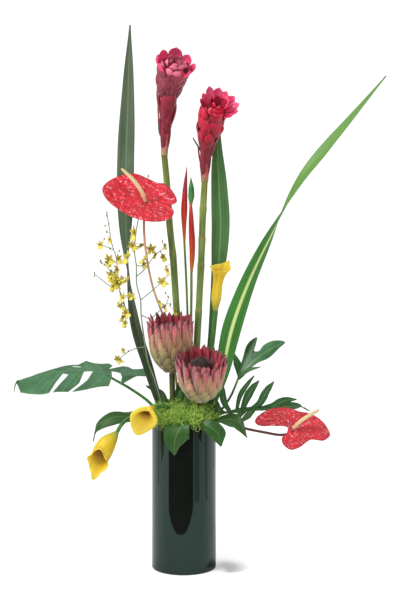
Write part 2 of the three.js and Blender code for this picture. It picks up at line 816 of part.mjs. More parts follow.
planted(
  'split_leaf',
  (grow) => {
    const stalk = tube(
      line([-38, -2, 222], [-44, -1, 247], [-57, 2, 262], [-85, 2, 282], [-122, -2, 303.5]),
      [[0, 2.7], [1, 1.9]],
      { steps: 9 },
      grow,
    );
    if (grow > 0) return stalk;
    const lamina = plate({ ...SPLIT_LEAF, cell: 26, place: splitLeafSurface });
    const drip = tube(line([-262, -12, 297], [-266, -15, 290], [-268, -15, 279]), [[0, 1.6], [1, 0.7]], {
      sides: 4,
      steps: 3,
    });
    return mainBody(join([lamina, stalk, drip]));
  },
  0x3d7a4b,
  0.5,
);

// ------------------------------------------------- lobed philodendrons, right
const UPPER_LOBES = smooth(
  [
    [86, 294], [91, 316], [96, 332], [101, 348], [108, 357], [119, 363], [117, 352], [114, 341],
    [121, 341], [130, 351], [148, 358], [165, 355], [155, 346], [137, 330], [119, 322], [106, 312], [94, 299],
  ],
  32,
);
planted(
  'philodendron_upper',
  (grow) => {
    const stalk = tube(
      line([32, 12, 226], [46, 17, 240], [60, 21, 247], [75, 22, 268], [88, 20.5, 299]),
      [[0, 2.4], [1, 1.7]],
      { steps: 8 },
      grow,
    );
    if (grow > 0) return stalk;
    const lamina = plate({
      outline: UPPER_LOBES,
      cell: 22,
      place: (x, z) => v(x, 20 + 0.45 * (z - 297) - 0.25 * (x - 87) + 0.004 * (x - 110) ** 2, z),
    });
    const lowLobe = blade({
      path: line([88, 20, 299], [104, 10, 311], [122, 2, 317]),
      across: v(0, 1, 0.6),
      width: [[0, 6], [0.5, 11], [1, 1.5]],
      steps: 4,
    });
    const farLobe = blade({
      path: line([89, 21, 302], [86, 36, 322], [80, 50, 338]),
      across: v(1, 0, 0.2),
      width: [[0, 6], [0.5, 13], [1, 1.5]],
      steps: 4,
    });
    return mainBody(join([lamina, stalk, lowLobe, farLobe]));
  },
  0x3f7d45,
  0.5,
);

// a rib with narrow fingers along both of its sides
const FINGER = { across: v(1, 0.3, -0.4), sides: 4, steps: 4, squash: 0.14 };
const LOBE_SLIVER = 0.2; // the fingers' roots overlap, so smaller slivers go
const LOWER_FINGERS = [
  { widest: 4.5, path: line([84, 10, 245], [90, 13, 270], [101, 16, 287], [113, 18, 302]) },
  { widest: 7, path: line([93, 11, 246], [101, 14, 266], [110, 18, 281], [121, 20, 294]) },
  { widest: 7, path: line([108, 13, 248], [122, 15, 258], [133, 18, 277], [145, 22, 292]) },
  { widest: 7, path: line([124, 15, 249], [144, 18, 253], [161, 22, 261], [182, 24, 263]) },
  { widest: 7.5, path: line([132, 16, 249], [160, 24, 251], [186, 28, 251], [205, 29, 243]) },
  { widest: 5.5, path: line([112, 12, 247], [102, 0, 240], [90, -8, 231]) },
  { widest: 4.5, path: line([98, 10, 246], [88, 2, 240], [77, -6, 233]) },
];
planted(
  'philodendron_lower',
  (grow) => {
    const stalk = tube(
      line([30, -2, 229], [46, 0, 238], [62, 4, 243], [80, 9, 245.5], [108, 14, 248.5], [136, 17, 249]),
      [[0, 2.4], [0.4, 2], [1, 1]],
      { steps: 8 },
      grow,
    );
    if (grow > 0) return stalk;
    const rib = blade({
      path: line([66, 5, 243.5], [90, 11, 246], [112, 15, 248], [140, 17, 249]),
      across: v(0, 1, 0.5),
      width: [[0, 3], [0.3, 13], [0.8, 12], [1, 5]],
      steps: 5,
    });
    const fingers = LOWER_FINGERS.map(({ path, widest }) =>
      tube(path, [[0, 0.55 * widest], [0.55, widest], [1, 1.6]], FINGER),
    );
    return mainBody(join([stalk, rib, ...fingers]), LOBE_SLIVER);
  },
  0x2f6b38,
  0.5,
);

// -------------------------------------------------- short leaves round the rim
const RIM_LEAF = { thick: 1.2, steps: 9, fold: 0.22 };
const RIM_LEAVES = [
  {
    name: 'rim_leaf_left',
    path: line(
      [-38, -12, 236], [-50, -15, 236], [-64, -18, 238], [-88, -22, 241], [-115, -25, 239], [-136, -28, 225],
      [-142, -28, 203],
    ),
    across: v(0, 1, 0.35),
    width: [[0, 3], [0.14, 3.4], [0.33, 18], [0.6, 26], [0.82, 18], [1, 1.6]],
  },
  {
    name: 'rim_leaf_left_small',
    path: line([-40, -7.5, 239], [-54, -7, 242], [-75, -6, 246], [-100, -6, 244]),
    across: v(0, 1, 0.2),
    width: [[0, 2.4], [0.3, 2.8], [0.65, 10], [1, 1.4]],
  },
  {
    name: 'rim_leaf_front_left',
    path: line(
      [10, -30, 236], [8, -46, 237], [2, -59, 235], [-9, -67, 222], [-14, -67, 204], [-13, -62, 187],
    ),
    across: v(0.9, 0, 0.9),
    width: [[0, 3], [0.3, 4.4], [0.42, 17], [0.58, 36], [0.76, 29], [1, 1.6]],
  },
  {
    name: 'rim_leaf_front_right',
    path: line([20, -30, 236], [24, -46, 236.5], [36, -57, 232], [52, -62, 221], [58, -60, 200]),
    across: v(-0.5, 0, 0.9),
    width: [[0, 3], [0.24, 4], [0.5, 19], [0.78, 22], [1, 1.6]],
  },
  {
    name: 'rim_leaf_right',
    path: line([34, -24, 236], [47, -33, 236.5], [62, -39, 239], [84, -42, 236], [99, -40, 210]),
    across: v(0.2, 1, 0.5),
    width: [[0, 3], [0.25, 4], [0.5, 22], [0.75, 24], [1, 1.6]],
  },
  {
    name: 'rim_leaf_back_right',
    path: line([36, 24, 236], [46, 33, 237], [62, 48, 242], [84, 66, 232]),
    across: v(-0.6, 0.8, 0.1),
    width: [[0, 3], [0.22, 3.6], [0.6, 28], [1, 1.6]],
  },
  {
    name: 'rim_leaf_back',
    path: line([-3, 40, 236], [-3, 52, 237], [1, 72, 243], [6, 96, 230]),
    across: v(-1, 0, 0),
    width: [[0, 3], [0.22, 3.6], [0.6, 28], [1, 1.6]],
  },
  {
    name: 'rim_leaf_back_left',
    path: line([-16, 36, 236], [-23, 47, 237], [-37, 68, 243], [-50, 88, 229]),
    across: v(-0.8, -0.6, 0),
    width: [[0, 3], [0.22, 3.6], [0.6, 26], [1, 1.6]],
  },
  {
    name: 'rim_leaf_rising',
    path: line([-22, 28, 222], [-26, 30, 250], [-40, 28, 273], [-62, 27, 285]),
    across: v(0.4, 0.6, 0.7),
    width: [[0, 3.4], [0.3, 5], [0.65, 17], [1, 1.6]],
  },
];
RIM_LEAVES.forEach(({ name, ...leaf }) => {
  planted(name, (grow) => blade({ ...RIM_LEAF, ...leaf }, grow), 0x3a7a3c, 0.45);
});

// ------------------------------------------------------- yellow orchid sprays
// outline of a flower as [angle from upright in degrees, share of its size]:
// a broad notched lip hangs below, narrow tepals stand above it
const FLORET = [
  [0, 0.62], [24, 0.22], [68, 0.56], [98, 0.2], [128, 0.34], [148, 0.66], [166, 0.98],
  [180, 0.84], [194, 0.98], [212, 0.66], [232, 0.34], [262, 0.2], [292, 0.56], [336, 0.22],
];

// one flower, thick in its middle and thin round its edge, looking along `face`
function floret(spot, face, size) {
  const sideways = UP.clone().cross(face).normalize();
  const upward = face.clone().cross(sideways);
  const edge = FLORET.map(([degrees, share]) => {
    const angle = THREE.MathUtils.degToRad(degrees);
    const droop = 0.12 * size * share * share;
    return spot
      .clone()
      .addScaledVector(upward, share * size * Math.cos(angle))
      .addScaledVector(sideways, share * size * Math.sin(angle))
      .addScaledVector(face, droop);
  });
  const front = spot.clone().addScaledVector(face, 0.9);
  const rear = spot.clone().addScaledVector(face, -1.1);
  const last = edge.length;
  const faces = [];
  for (let k = 0; k < last; k += 1) {
    const next = (k + 1) % last;
    faces.push([k, next, last + 1], [next, k, last]);
  }
  return solid([...edge, front, rear], faces);
}

// stalks that start inside one another; each flower hangs on a short stalk of its own
function spray({ main, branches, flowers, buds }, seed) {
  const random = seeded(seed);
  const twig = (points, radius) => tube(points, radius, { sides: 4, steps: points.length - 1 });
  const parts = [
    tube(main, [[0, 1.4], [0.5, 1.1], [1, 0.6]], { sides: 4, steps: 16 }),
    ...branches.map((points) => twig(points, [[0, 0.85], [1, 0.6]])),
  ];
  const stalks = [main, ...branches].flatMap((points) => track(points, 30, RIGHT).map((row) => row.centre));
  const hang = (spot) => {
    const closer = (best, next) => (next.distanceTo(spot) < best.distanceTo(spot) ? next : best);
    const nearest = stalks.reduce(closer);
    const away = nearest.distanceTo(spot);
    if (away < 1) return [];
    const middle = nearest.clone().lerp(spot, 0.5);
    return [tube([nearest, middle, spot], 0.6, { sides: 4, steps: 1, across: v(0.3, 0.2, 0.93) })];
  };
  flowers.forEach(([x, y, z, size]) => {
    const spot = v(x, y, z);
    const face = v(random() - 0.5, -1, random() - 0.4).normalize();
    parts.push(...hang(spot), floret(spot, face, size));
  });
  buds.forEach(([x, y, z, size]) => {
    const spot = v(x, y, z);
    parts.push(...hang(spot), bodyOf(new THREE.OctahedronGeometry(size).translate(x, y, z)));
  });
  return join(parts);
}

const SPRAY_RIGHT = {
  main: line(
    [-31, -6, ROOT_Z], [-34, -8, 250], [-47, -9, 300], [-56, -8, 324], [-61, -8, 350], [-68, -5, 400],
    [-69, -4, 424], [-75, -4, 448], [-76, -2, 480], [-79, 3, 499], [-77, 10, 533], [-71, 20, 569],
    [-62, 30, 600], [-59, 34, 625],
  ),
  branches: [
    line([-69, -4, 424], [-49, -9, 440], [-38, -10, 450], [-30, -10, 457], [-25, -10, 468], [-28, -10, 476]),
    line([-75, -3, 462], [-66, 4, 470], [-57, 10, 482], [-47, 12, 496], [-32, 9, 509], [-35, 8, 517]),
    line([-76, -2, 480], [-68, -5, 478], [-62, -7, 489]),
    line([-68, -5, 400], [-54, -2, 395], [-43, -4, 403], [-37, -6, 409], [-29, -6, 416], [-25, -6, 427]),
    line([-79, 3, 499], [-83, -4, 512], [-79, -7, 531]),
    line([-61, -8, 350], [-77, -12, 347], [-88, -14, 342], [-104, -16, 330]),
  ],
  flowers: [
    [-79, -7, 531, 15], [-82, -4, 511, 10], [-35, -11, 453, 14], [-46, 10, 497, 9], [-62, -7, 489, 12],
    [-31, 7, 511, 8], [-26, -11, 471, 9], [-30, -7, 413, 9], [-14, -8, 406, 8], [-104, -16, 331, 8],
  ],
  buds: [
    [-59, 34, 626, 1.7], [-28, -10, 477, 1.6], [-25, -6, 428, 1.8], [-35, 8, 518, 1.5],
    [-88, -14, 343, 1.5],
  ],
};
const SPRAY_LEFT = {
  main: line(
    [-36, 21, ROOT_Z], [-38, 25, 255], [-46, 37, 280], [-58, 49, 304], [-73, 49, 342], [-87, 41, 391],
    [-99, 27, 419], [-103, 14, 435], [-105, 6, 450], [-106, 1, 469], [-108, -1, 491], [-112, -2, 504],
    [-116, -2, 519], [-119, -2, 540], [-123, -2, 562],
  ),
  branches: [
    line([-106, 5, 445], [-119, 4, 447], [-130, 3, 455], [-143, 2, 466]),
    line([-112, -2, 504], [-122, -4, 508], [-133, -5, 513]),
    line([-106, 1, 469], [-115, -3, 469], [-124, -5, 478], [-133, -6, 485]),
    line([-105, 6, 448], [-98, -2, 450], [-91, -6, 455]),
    line([-104, 9, 440], [-98, -4, 428], [-93, -8, 412], [-92, -9, 388]),
  ],
  flowers: [
    [-119, -5, 489, 13], [-104, -4, 490, 12], [-90, -7, 492, 13], [-106, -3, 473, 11], [-116, -4, 464, 12],
    [-106, -2, 451, 12], [-91, -7, 455, 9], [-97, -6, 428, 13], [-101, -8, 414, 12], [-92, -9, 404, 11],
    [-93, -9, 388, 9], [-133, -5, 512, 8], [-118, -3, 520, 8],
  ],
  buds: [[-123, -2, 563, 1.6], [-143, 2, 467, 1.5], [-133, -6, 486, 1.7], [-120, -2, 545, 1.6]],
};

function sprayPiece(name, plan, seed) {
  const foot = { sides: 4, steps: 5 };
  holes.push(tube(plan.main.slice(0, 3), 1.4, foot, HOLE + 0.5));
  part(name, mainBody(spray(plan, seed)), 0xd9c23a, 0.6);
}
sprayPiece('orchid_spray_right', SPRAY_RIGHT, 11);
sprayPiece('orchid_spray_left', SPRAY_LEFT, 23);

// ------------------------------------------------------- vase, foam and moss
const inner = VASE.radius - VASE.wall;
part(
  'vase',
  turned(
    [
      [0, 0],
      [VASE.radius - VASE.edge, 0],
      [VASE.radius, VASE.edge],
      [VASE.radius, VASE.height - 0.8],
      [VASE.radius - 0.8, VASE.height],
      [inner + 0.8, VASE.height],
      [inner, VASE.height - 0.8],
      [inner, VASE.floor],
      [0, VASE.floor],
    ],
    VASE.sides,
  ),
  0x1c2a26,
  0.12,
);

const allHoles = join(holes);
const foamBlock = turned(
  [[0, FOAM.bottom], [FOAM.radius, FOAM.bottom], [FOAM.radius, FOAM.top], [0, FOAM.top]],
  FOAM.sides,
);
part('floral_foam', mainBody(foamBlock.subtract(allHoles)), 0x33502f, 0.95);

// the moss is a lumpy cap over the foam that also rests on the vase's rim
const MOSS_PROFILE = [
  [MOSS.inner, MOSS.bottom], [53.5, MOSS.bottom + 0.4], [55.2, 238], [53.5, 248], [46, 255.5],
  [31, 259], [12, 262],
];
function mossCap() {
  const random = seeded(7);
  const rows = MOSS_PROFILE.map(([radius, height], row) => {
    const flat = ring({ centre: v(0, 0, height), side: RIGHT, face: BACK }, radius, MOSS.sides);
    if (row < 2) return flat;
    return flat.map((p) => {
      const out = p.clone().setZ(0).normalize();
      const push = (random() - 0.5) * 2 * MOSS.lump;
      const lift = (random() - 0.5) * 2 * MOSS.lump * (row > 3 ? 1 : 0.3);
      return p.addScaledVector(out, push).add(v(0, 0, lift));
    });
  });
  const hollow = ring({ centre: v(0, 0, MOSS.ceiling), side: RIGHT, face: BACK }, MOSS.inner, MOSS.sides);
  return loft([hollow, ...rows]);
}
part('moss', mainBody(mossCap().subtract(allHoles)), 0x86a83a, 0.95);

export default arrangement;
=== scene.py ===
# %% [markdown]
# # A tall tropical arrangement in a dark glossy vase
#
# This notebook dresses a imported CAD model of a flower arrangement: torch gingers,
# anthuriums, proteas, callas, heliconias, orchid sprays and long leaves that stand in
# a glazed cylinder. The CAD solids give the places and sizes. Each cell below makes
# one kind of real piece and says why it was made that way.

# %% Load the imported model
import math
import random

import bmesh
import bpy
import numpy as np
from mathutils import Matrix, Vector
from mathutils.geometry import delaunay_2d_cdt


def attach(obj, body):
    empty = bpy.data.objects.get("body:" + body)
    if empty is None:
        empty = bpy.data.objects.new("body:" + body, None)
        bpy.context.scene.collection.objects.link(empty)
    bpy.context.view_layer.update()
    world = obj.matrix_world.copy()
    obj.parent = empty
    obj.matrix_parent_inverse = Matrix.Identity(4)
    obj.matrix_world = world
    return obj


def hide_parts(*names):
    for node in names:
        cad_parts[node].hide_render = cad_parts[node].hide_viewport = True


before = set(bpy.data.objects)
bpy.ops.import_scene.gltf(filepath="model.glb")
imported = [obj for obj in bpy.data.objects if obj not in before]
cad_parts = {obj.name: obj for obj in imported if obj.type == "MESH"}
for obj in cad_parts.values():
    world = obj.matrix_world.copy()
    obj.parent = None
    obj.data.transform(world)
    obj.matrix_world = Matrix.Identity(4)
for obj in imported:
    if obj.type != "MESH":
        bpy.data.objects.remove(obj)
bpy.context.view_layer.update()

print("CAD nodes:", len(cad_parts))

# %% [markdown]
# The arrangement was measured in millimetres and Blender works in metres, so every
# list of points below is in millimetres and is scaled once, when its mesh is made.
# A stem or a leaf is given by a few points that it passes through. The curve through
# them is a centripetal Catmull-Rom curve, which never makes a loop between two points,
# and it is cut into even steps so that widths and colours spread evenly along it.

# %% Paths and widths
MM = 0.001
RIGHT, _, UP = np.eye(3)


def unit(vectors):
    vectors = np.asarray(vectors, float)
    return vectors / np.maximum(np.linalg.norm(vectors, axis=-1, keepdims=True), 1e-12)


def level(rows, u, blur=0.0):
    """Value at u (0 to 1) from rows of (u, value), with its corners rounded by blur."""
    if np.isscalar(rows):
        return np.full(np.shape(u), float(rows))
    at, values = np.array(rows, float).T
    if not blur:
        return np.interp(u, at, values)
    offsets = np.linspace(-blur, blur, 9)
    weights = 1 - np.abs(offsets / blur) * 0.8
    near = [np.interp(np.clip(np.asarray(u) + o, 0, 1), at, values) for o in offsets]
    return np.average(near, axis=0, weights=weights)


def curve_through(points, closed=False, fine=24):
    """Dense points on the Catmull-Rom curve through the given ones."""
    p = np.array(points, float)
    if closed:
        ends = [p[-1], *p, p[0], p[1]]
    else:
        ends = [2 * p[0] - p[1], *p, 2 * p[-1] - p[-2]]
    out = []
    for p0, p1, p2, p3 in zip(ends, ends[1:], ends[2:], ends[3:]):
        d0, d1, d2 = (max(np.linalg.norm(b - a) ** 0.5, 1e-4)
                      for a, b in ((p0, p1), (p1, p2), (p2, p3)))
        m1 = d1 * ((p1 - p0) / d0 - (p2 - p0) / (d0 + d1) + (p2 - p1) / d1)
        m2 = d1 * ((p2 - p1) / d1 - (p3 - p1) / (d1 + d2) + (p3 - p2) / d2)
        for t in np.linspace(0, 1, fine, endpoint=False):
            out.append((2 * t**3 - 3 * t**2 + 1) * p1 + (t**3 - 2 * t**2 + t) * m1
                       + (3 * t**2 - 2 * t**3) * p2 + (t**3 - t**2) * m2)
    out.append(out[0] if closed else p[-1])
    return np.array(out)


def even_steps(points, steps):
    """Points at even distances along a polyline."""
    run = np.concatenate([[0], np.cumsum(np.linalg.norm(np.diff(points, axis=0), axis=1))])
    goal = np.linspace(0, run[-1], steps + 1)
    return np.column_stack([np.interp(goal, run, points[:, k]) for k in range(points.shape[1])])


def track(points, steps, across=RIGHT):
    """Even steps along a curve with a frame at each: u, centre, along, side, face."""
    centre = even_steps(curve_through(points), steps)
    along = unit(np.gradient(centre, axis=0))
    across = np.asarray(across, float)
    side = unit(across - (along @ across)[:, None] * along)
    return np.linspace(0, 1, steps + 1), centre, along, side, np.cross(along, side)


print("a path of five points:", track([(0, 0, 0), (0, 0, 9), (3, 0, 20)], 4)[1].round(1).tolist())

# %% [markdown]
# ## Two small helpers for node trees
#
# Both the shapes and the finishes are built from nodes. `add` places one node, sets
# its options and fills its sockets, either with a value or with a link. `out` gives
# the first socket of a name that is in use, because many nodes keep one hidden socket
# for each kind of data.

# %% Node helpers
def in_use(sockets, name):
    if isinstance(name, int):
        return sockets[name]
    return next(s for s in sockets if s.enabled and name in (None, s.name))


def out(node, name=None):
    return in_use(node.outputs, name)


def add(tree, kind, sockets=None, **options):
    node = tree.nodes.new(kind)
    for key, value in options.items():
        setattr(node, key, value)
    for name, value in (sockets or {}).items():
        socket = in_use(node.inputs, name)
        if isinstance(value, bpy.types.NodeSocket):
            tree.links.new(value, socket)
        else:
            socket.default_value = value
    return node


def math_node(tree, operation, *values):
    return out(add(tree, "ShaderNodeMath", dict(enumerate(values)), operation=operation))


def times(tree, first, second):
    return math_node(tree, "MULTIPLY", first, second)


def plus(tree, first, second):
    return math_node(tree, "ADD", first, second)


def times_plus(tree, first, second, third):
    return math_node(tree, "MULTIPLY_ADD", first, second, third)


def vector_math(tree, operation, *values, **named):
    sockets = {**dict(enumerate(values)), **named}
    return out(add(tree, "ShaderNodeVectorMath", sockets, operation=operation))


# %% [markdown]
# ## From a tree to a plain mesh
#
# A Geometry Nodes tree runs as a modifier on a guide mesh, here a chain of points that
# carries its own numbers (radius, width, direction) as attributes. Blender evaluates
# it, the result is kept as a plain mesh, and the guide is thrown away.

# %% Guides, trees and pieces
SCENE = bpy.context.scene


def new_tree(name, inputs):
    """An empty Geometry Nodes tree with named inputs {name: (kind, default)}."""
    tree = bpy.data.node_groups.new(name, "GeometryNodeTree")
    face = tree.interface
    face.new_socket("Geometry", in_out="INPUT", socket_type="NodeSocketGeometry")
    for label, (kind, default) in inputs.items():
        socket = face.new_socket(label, in_out="INPUT", socket_type="NodeSocket" + kind)
        if default is not None:
            socket.default_value = default
    face.new_socket("Geometry", in_out="OUTPUT", socket_type="NodeSocketGeometry")
    return tree, tree.nodes.new("NodeGroupInput"), tree.nodes.new("NodeGroupOutput")


def label(mesh, name, rows):
    """Gives every point of a mesh a number, or a vector where rows has three columns."""
    rows = np.asarray(rows, np.float32)
    kind, field = ("FLOAT_VECTOR", "vector") if rows.ndim == 2 else ("FLOAT", "value")
    mesh.attributes.new(name, kind, "POINT").data.foreach_set(field, rows.ravel())


def new_mesh(name, points, edges, faces, **labels):
    """A mesh of points in millimetres, with the labels of each."""
    mesh = bpy.data.meshes.new(name)
    mesh.from_pydata((np.asarray(points).reshape(-1, 3) * MM).tolist(), edges, faces)
    for key, rows in labels.items():
        label(mesh, key, rows)
    return mesh


def chain(steps):
    return [(a, a + 1) for a in range(steps)]


def tube_faces(steps, sides):
    """The faces between rings of points that follow each other."""
    return [(i * sides + k, i * sides + (k + 1) % sides, (i + 1) * sides + (k + 1) % sides,
             (i + 1) * sides + k) for i in range(steps) for k in range(sides)]


def mended(mesh, merge=0.0, close=None, finish=None):
    """Merges points, closes open rims, turns the faces outwards and smooths them."""
    build = bmesh.new()
    build.from_mesh(mesh)
    if merge:
        bmesh.ops.remove_doubles(build, verts=build.verts, dist=merge)
        bmesh.ops.dissolve_degenerate(build, edges=build.edges, dist=1e-8)
    bmesh.ops.delete(build, geom=[v for v in build.verts if not v.link_faces], context="VERTS")
    rims = [e for e in build.edges if len(e.link_faces) == 1]
    if close and rims:
        close(build, edges=rims)
    bmesh.ops.recalc_face_normals(build, faces=build.faces)
    build.to_mesh(mesh)
    build.free()
    if finish:
        mesh.shade_smooth()
        mesh.materials.append(finish)
    return mesh


def new_piece(name, mesh):
    piece = bpy.data.objects.new(name, mesh)
    SCENE.collection.objects.link(piece)
    return piece


def plain_mesh(piece):
    """The piece's mesh with its modifiers worked in."""
    graph = bpy.context.evaluated_depsgraph_get()
    return bpy.data.meshes.new_from_object(piece.evaluated_get(graph))


def grow(name, guide, tree, **inputs):
    """Runs a tree on a guide and keeps the outcome as a plain mesh object."""
    holder = new_piece(name + "_guide", guide)
    modifier = holder.modifiers.new("grow", "NODES")
    modifier.node_group = tree
    for item in tree.interface.items_tree:
        if item.in_out == "INPUT" and item.name in inputs:
            modifier[item.identifier] = inputs[item.name]
    mesh = plain_mesh(holder)
    bpy.data.objects.remove(holder)
    return new_piece(name, mesh)


def joined(name, pieces):
    """One object of several, each keeping its own finish."""
    whole = bpy.data.meshes.new(name)
    build = bmesh.new()
    finishes = []
    for piece in pieces:
        slots = list(piece.data.materials)
        finishes += [finish for finish in slots if finish not in finishes]
        start = len(build.faces)
        build.from_mesh(piece.data)
        build.faces.ensure_lookup_table()
        for face in build.faces[start:]:
            face.material_index = finishes.index(slots[face.material_index])
        bpy.data.objects.remove(piece)
    build.to_mesh(whole)
    build.free()
    for finish in finishes:
        whole.materials.append(finish)
    return new_piece(name, whole)


MADE = {}


def settle(piece, nodes):
    """Hands a finished piece over: it rides on the root and stands for its nodes."""
    nodes = [nodes] if isinstance(nodes, str) else nodes
    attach(piece, "root")
    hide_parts(*nodes)
    MADE[piece.name] = len(piece.data.polygons)
    print(f"{piece.name}: {len(piece.data.polygons)} faces, for {', '.join(nodes)}")
    return piece


# %% [markdown]
# ## Colours
#
# Colours are written as they look on a screen, from 0 to 255, and turned into the
# linear values that the renderer adds up. The helpers below make the few things that
# every finish needs: a pattern of noise, a ramp of colours, a mix and a bump.

# %% Colour helpers
def rgb(red, green, blue):
    share = np.array([red, green, blue], float) / 255
    low = share / 12.92
    high = ((share + 0.055) / 1.055) ** 2.4
    return (*np.where(share <= 0.04045, low, high).tolist(), 1.0)


def new_finish(name, roughness=0.5, **sockets):
    made = bpy.data.materials.new(name)
    made.use_nodes = True
    tree = made.node_tree
    shader = tree.nodes["Principled BSDF"]
    shader.inputs["Roughness"].default_value = roughness
    for key, value in sockets.items():
        shader.inputs[key.replace("_", " ")].default_value = value
    return made, tree


def feed(tree, socket, value):
    tree.links.new(value, tree.nodes["Principled BSDF"].inputs[socket])


def spot(tree):
    return out(add(tree, "ShaderNodeTexCoord"), "Object")


def value_of(tree, name, part=None):
    """A number or one part of a vector that the mesh carries at each point."""
    node = add(tree, "ShaderNodeAttribute", attribute_name=name)
    if part is None:
        return out(node, "Fac")
    return out(add(tree, "ShaderNodeSeparateXYZ", {0: out(node, "Vector")}), part)


def noise(tree, scale, detail=3.0, vector=None, stretch=None):
    vector = vector or spot(tree)
    if stretch:
        vector = vector_math(tree, "MULTIPLY", vector, stretch)
    return out(add(tree, "ShaderNodeTexNoise",
                   {"Vector": vector, "Scale": scale, "Detail": detail}), "Fac")


def lines_along(tree, across, along, detail=3.0, tint=None):
    """Noise drawn out along a leaf by its own place, and shifted by its own tint."""
    parts = {0: times(tree, value_of(tree, "place", "X"), across),
             1: times(tree, value_of(tree, "place", "Y"), along)}
    if tint:
        parts[2] = times(tree, value_of(tree, "tint"), tint)
    return noise(tree, 1.0, detail, out(add(tree, "ShaderNodeCombineXYZ", parts)))


def cells(tree, scale, **options):
    node = add(tree, "ShaderNodeTexVoronoi", {"Vector": spot(tree), "Scale": scale}, **options)
    return out(node, "Distance")


def linear(colour):
    """Three screen values become a linear colour; anything else is ready as it is."""
    return rgb(*colour) if isinstance(colour, tuple) and len(colour) == 3 else colour


def ramp(tree, amount, stops):
    node = add(tree, "ShaderNodeValToRGB", {0: amount})
    marks = node.color_ramp.elements
    while len(marks) < len(stops):
        marks.new(0.5)
    for mark, (at, colour) in zip(marks, stops):
        mark.position = at
        mark.color = linear(colour)
    return out(node, "Color")


def band(tree, amount, low, high, start=0.0, end=1.0):
    """start below low, end above high, and a smooth change between them."""
    return out(add(tree, "ShaderNodeMapRange",
                   {0: amount, 1: low, 2: high, 3: start, 4: end},
                   interpolation_type="SMOOTHSTEP"))


def mixed(tree, amount, first, second, blend="MIX"):
    sockets = {"Factor": amount, "A": linear(first), "B": linear(second)}
    return out(add(tree, "ShaderNodeMix", sockets, data_type="RGBA", blend_type=blend))


def laid_on(tree, colour, pattern, low, high, share, tint):
    """The tint over a colour, up to share of it, where the pattern passes low to high."""
    return mixed(tree, band(tree, pattern, low, high, 0.0, share), colour, tint)


def under_mix(tree, share, first, second):
    """The second colour on the underside, as far as share says."""
    return mixed(tree, times(tree, value_of(tree, "under"), share), first, second)


def bump(tree, height, depth, strength=1.0):
    return out(add(tree, "ShaderNodeBump",
                   {"Height": height, "Distance": depth, "Strength": strength}))


def dressed(look, colour, height, depth, strength=1.0):
    """Gives a finish its colour and its relief."""
    tree = look.node_tree
    feed(tree, "Base Color", colour)
    feed(tree, "Normal", bump(tree, height, depth, strength))
    return look


def varied(tree, colour, tint, patch=1.0):
    """Each copy of a bract a little lighter or darker, by its own tint."""
    shade = times_plus(tree, value_of(tree, "tint"), tint, 1 - tint / 2)
    if patch != 1.0:
        shade = times(tree, shade, patch)
    grey = out(add(tree, "ShaderNodeCombineColor", {n: shade for n in range(3)}))
    return mixed(tree, 1.0, colour, grey, "MULTIPLY")


def wave(tree, amount, count):
    """A smooth up and down, count times as amount goes from 0 to 1."""
    turned = times(tree, amount, count * 2 * math.pi)
    return times_plus(tree, math_node(tree, "SINE", turned), 0.5, 0.5)


print("a leaf green in linear values:", [round(c, 3) for c in rgb(60, 140, 60)])

# %% [markdown]
# ## Camera, floor and light
#
# The picture was taken level, from about a metre and a half, with the lens a little
# under half-way up the arrangement. Everything stands on white, so the sky is an even
# white that lights from all sides, as a light tent does, and a large soft lamp from
# the left front gives the leaves and petals their shape. The vase is a mirror: what
# it shows is the table in front of it, so the dark edge of the table is laid there
# as a black card that only mirror rays meet. A small flag just above the floor, clear
# to the camera, keeps the light off the floor at the right of the foot, where the
# photograph has its one dark shadow.

# %% Stage
LENS_PLACE = (0.0255, -1.47, 0.4224)
camera_data = bpy.data.cameras.new("camera")
camera_data.sensor_fit = "VERTICAL"
camera_data.sensor_height = 36.0
camera_data.lens = 55.15
camera = new_piece("camera", camera_data)
camera.location = LENS_PLACE
camera.rotation_euler = (math.radians(90), 0, 0)
SCENE.camera = camera
SCENE.view_settings.view_transform = "Standard"

world = bpy.data.worlds.new("studio")
world.use_nodes = True
# white behind everything, dimmer as a lamp, dimmer still in a gloss: a studio's walls
SKY = dict(seen=1.12, lighting=0.8, mirrored=0.5)


def lamp(name, place, size, power, aim=(0, 0, 0.4)):
    data = bpy.data.lights.new(name, "AREA")
    data.shape = "RECTANGLE"
    data.size, data.size_y = size
    data.energy = power
    made = new_piece(name, data)
    made.location = place
    made.rotation_euler = (Vector(aim) - Vector(place)).to_track_quat("-Z", "Y").to_euler()


lamp("key", (-1.2, -1.1, 1.9), (0.9, 0.9), 34)
lamp("rim", (1.5, 1.0, 1.5), (0.8, 1.2), 9)


def ray(tree, kind):
    return out(add(tree, "ShaderNodeLightPath"), kind)


sky = world.node_tree
mirrored = times_plus(sky, ray(sky, "Is Glossy Ray"), SKY["mirrored"] - SKY["lighting"],
    SKY["lighting"])
strength = math_node(sky, "MAXIMUM", mirrored, times(sky, ray(sky, "Is Camera Ray"), SKY["seen"]))
background = sky.nodes["Background"].inputs
sky.links.new(strength, background["Strength"])
background["Color"].default_value = (1, 1, 1, 1)
SCENE.world = world
print("camera at", [round(c, 3) for c in camera.location])

# %% [markdown]
# The floor and the cards are flat sheets. A sheet's shader can be mixed with a clear
# one by the kind of ray that meets it, which is how a card can darken a reflection,
# or the floor, without being seen itself.

# %% Floor and cards
BLACK = (0.004, 0.004, 0.004, 1)
PALE = (0.93, 0.93, 0.93, 1)
WHITE = (1, 1, 1, 1)
FAR = 9000


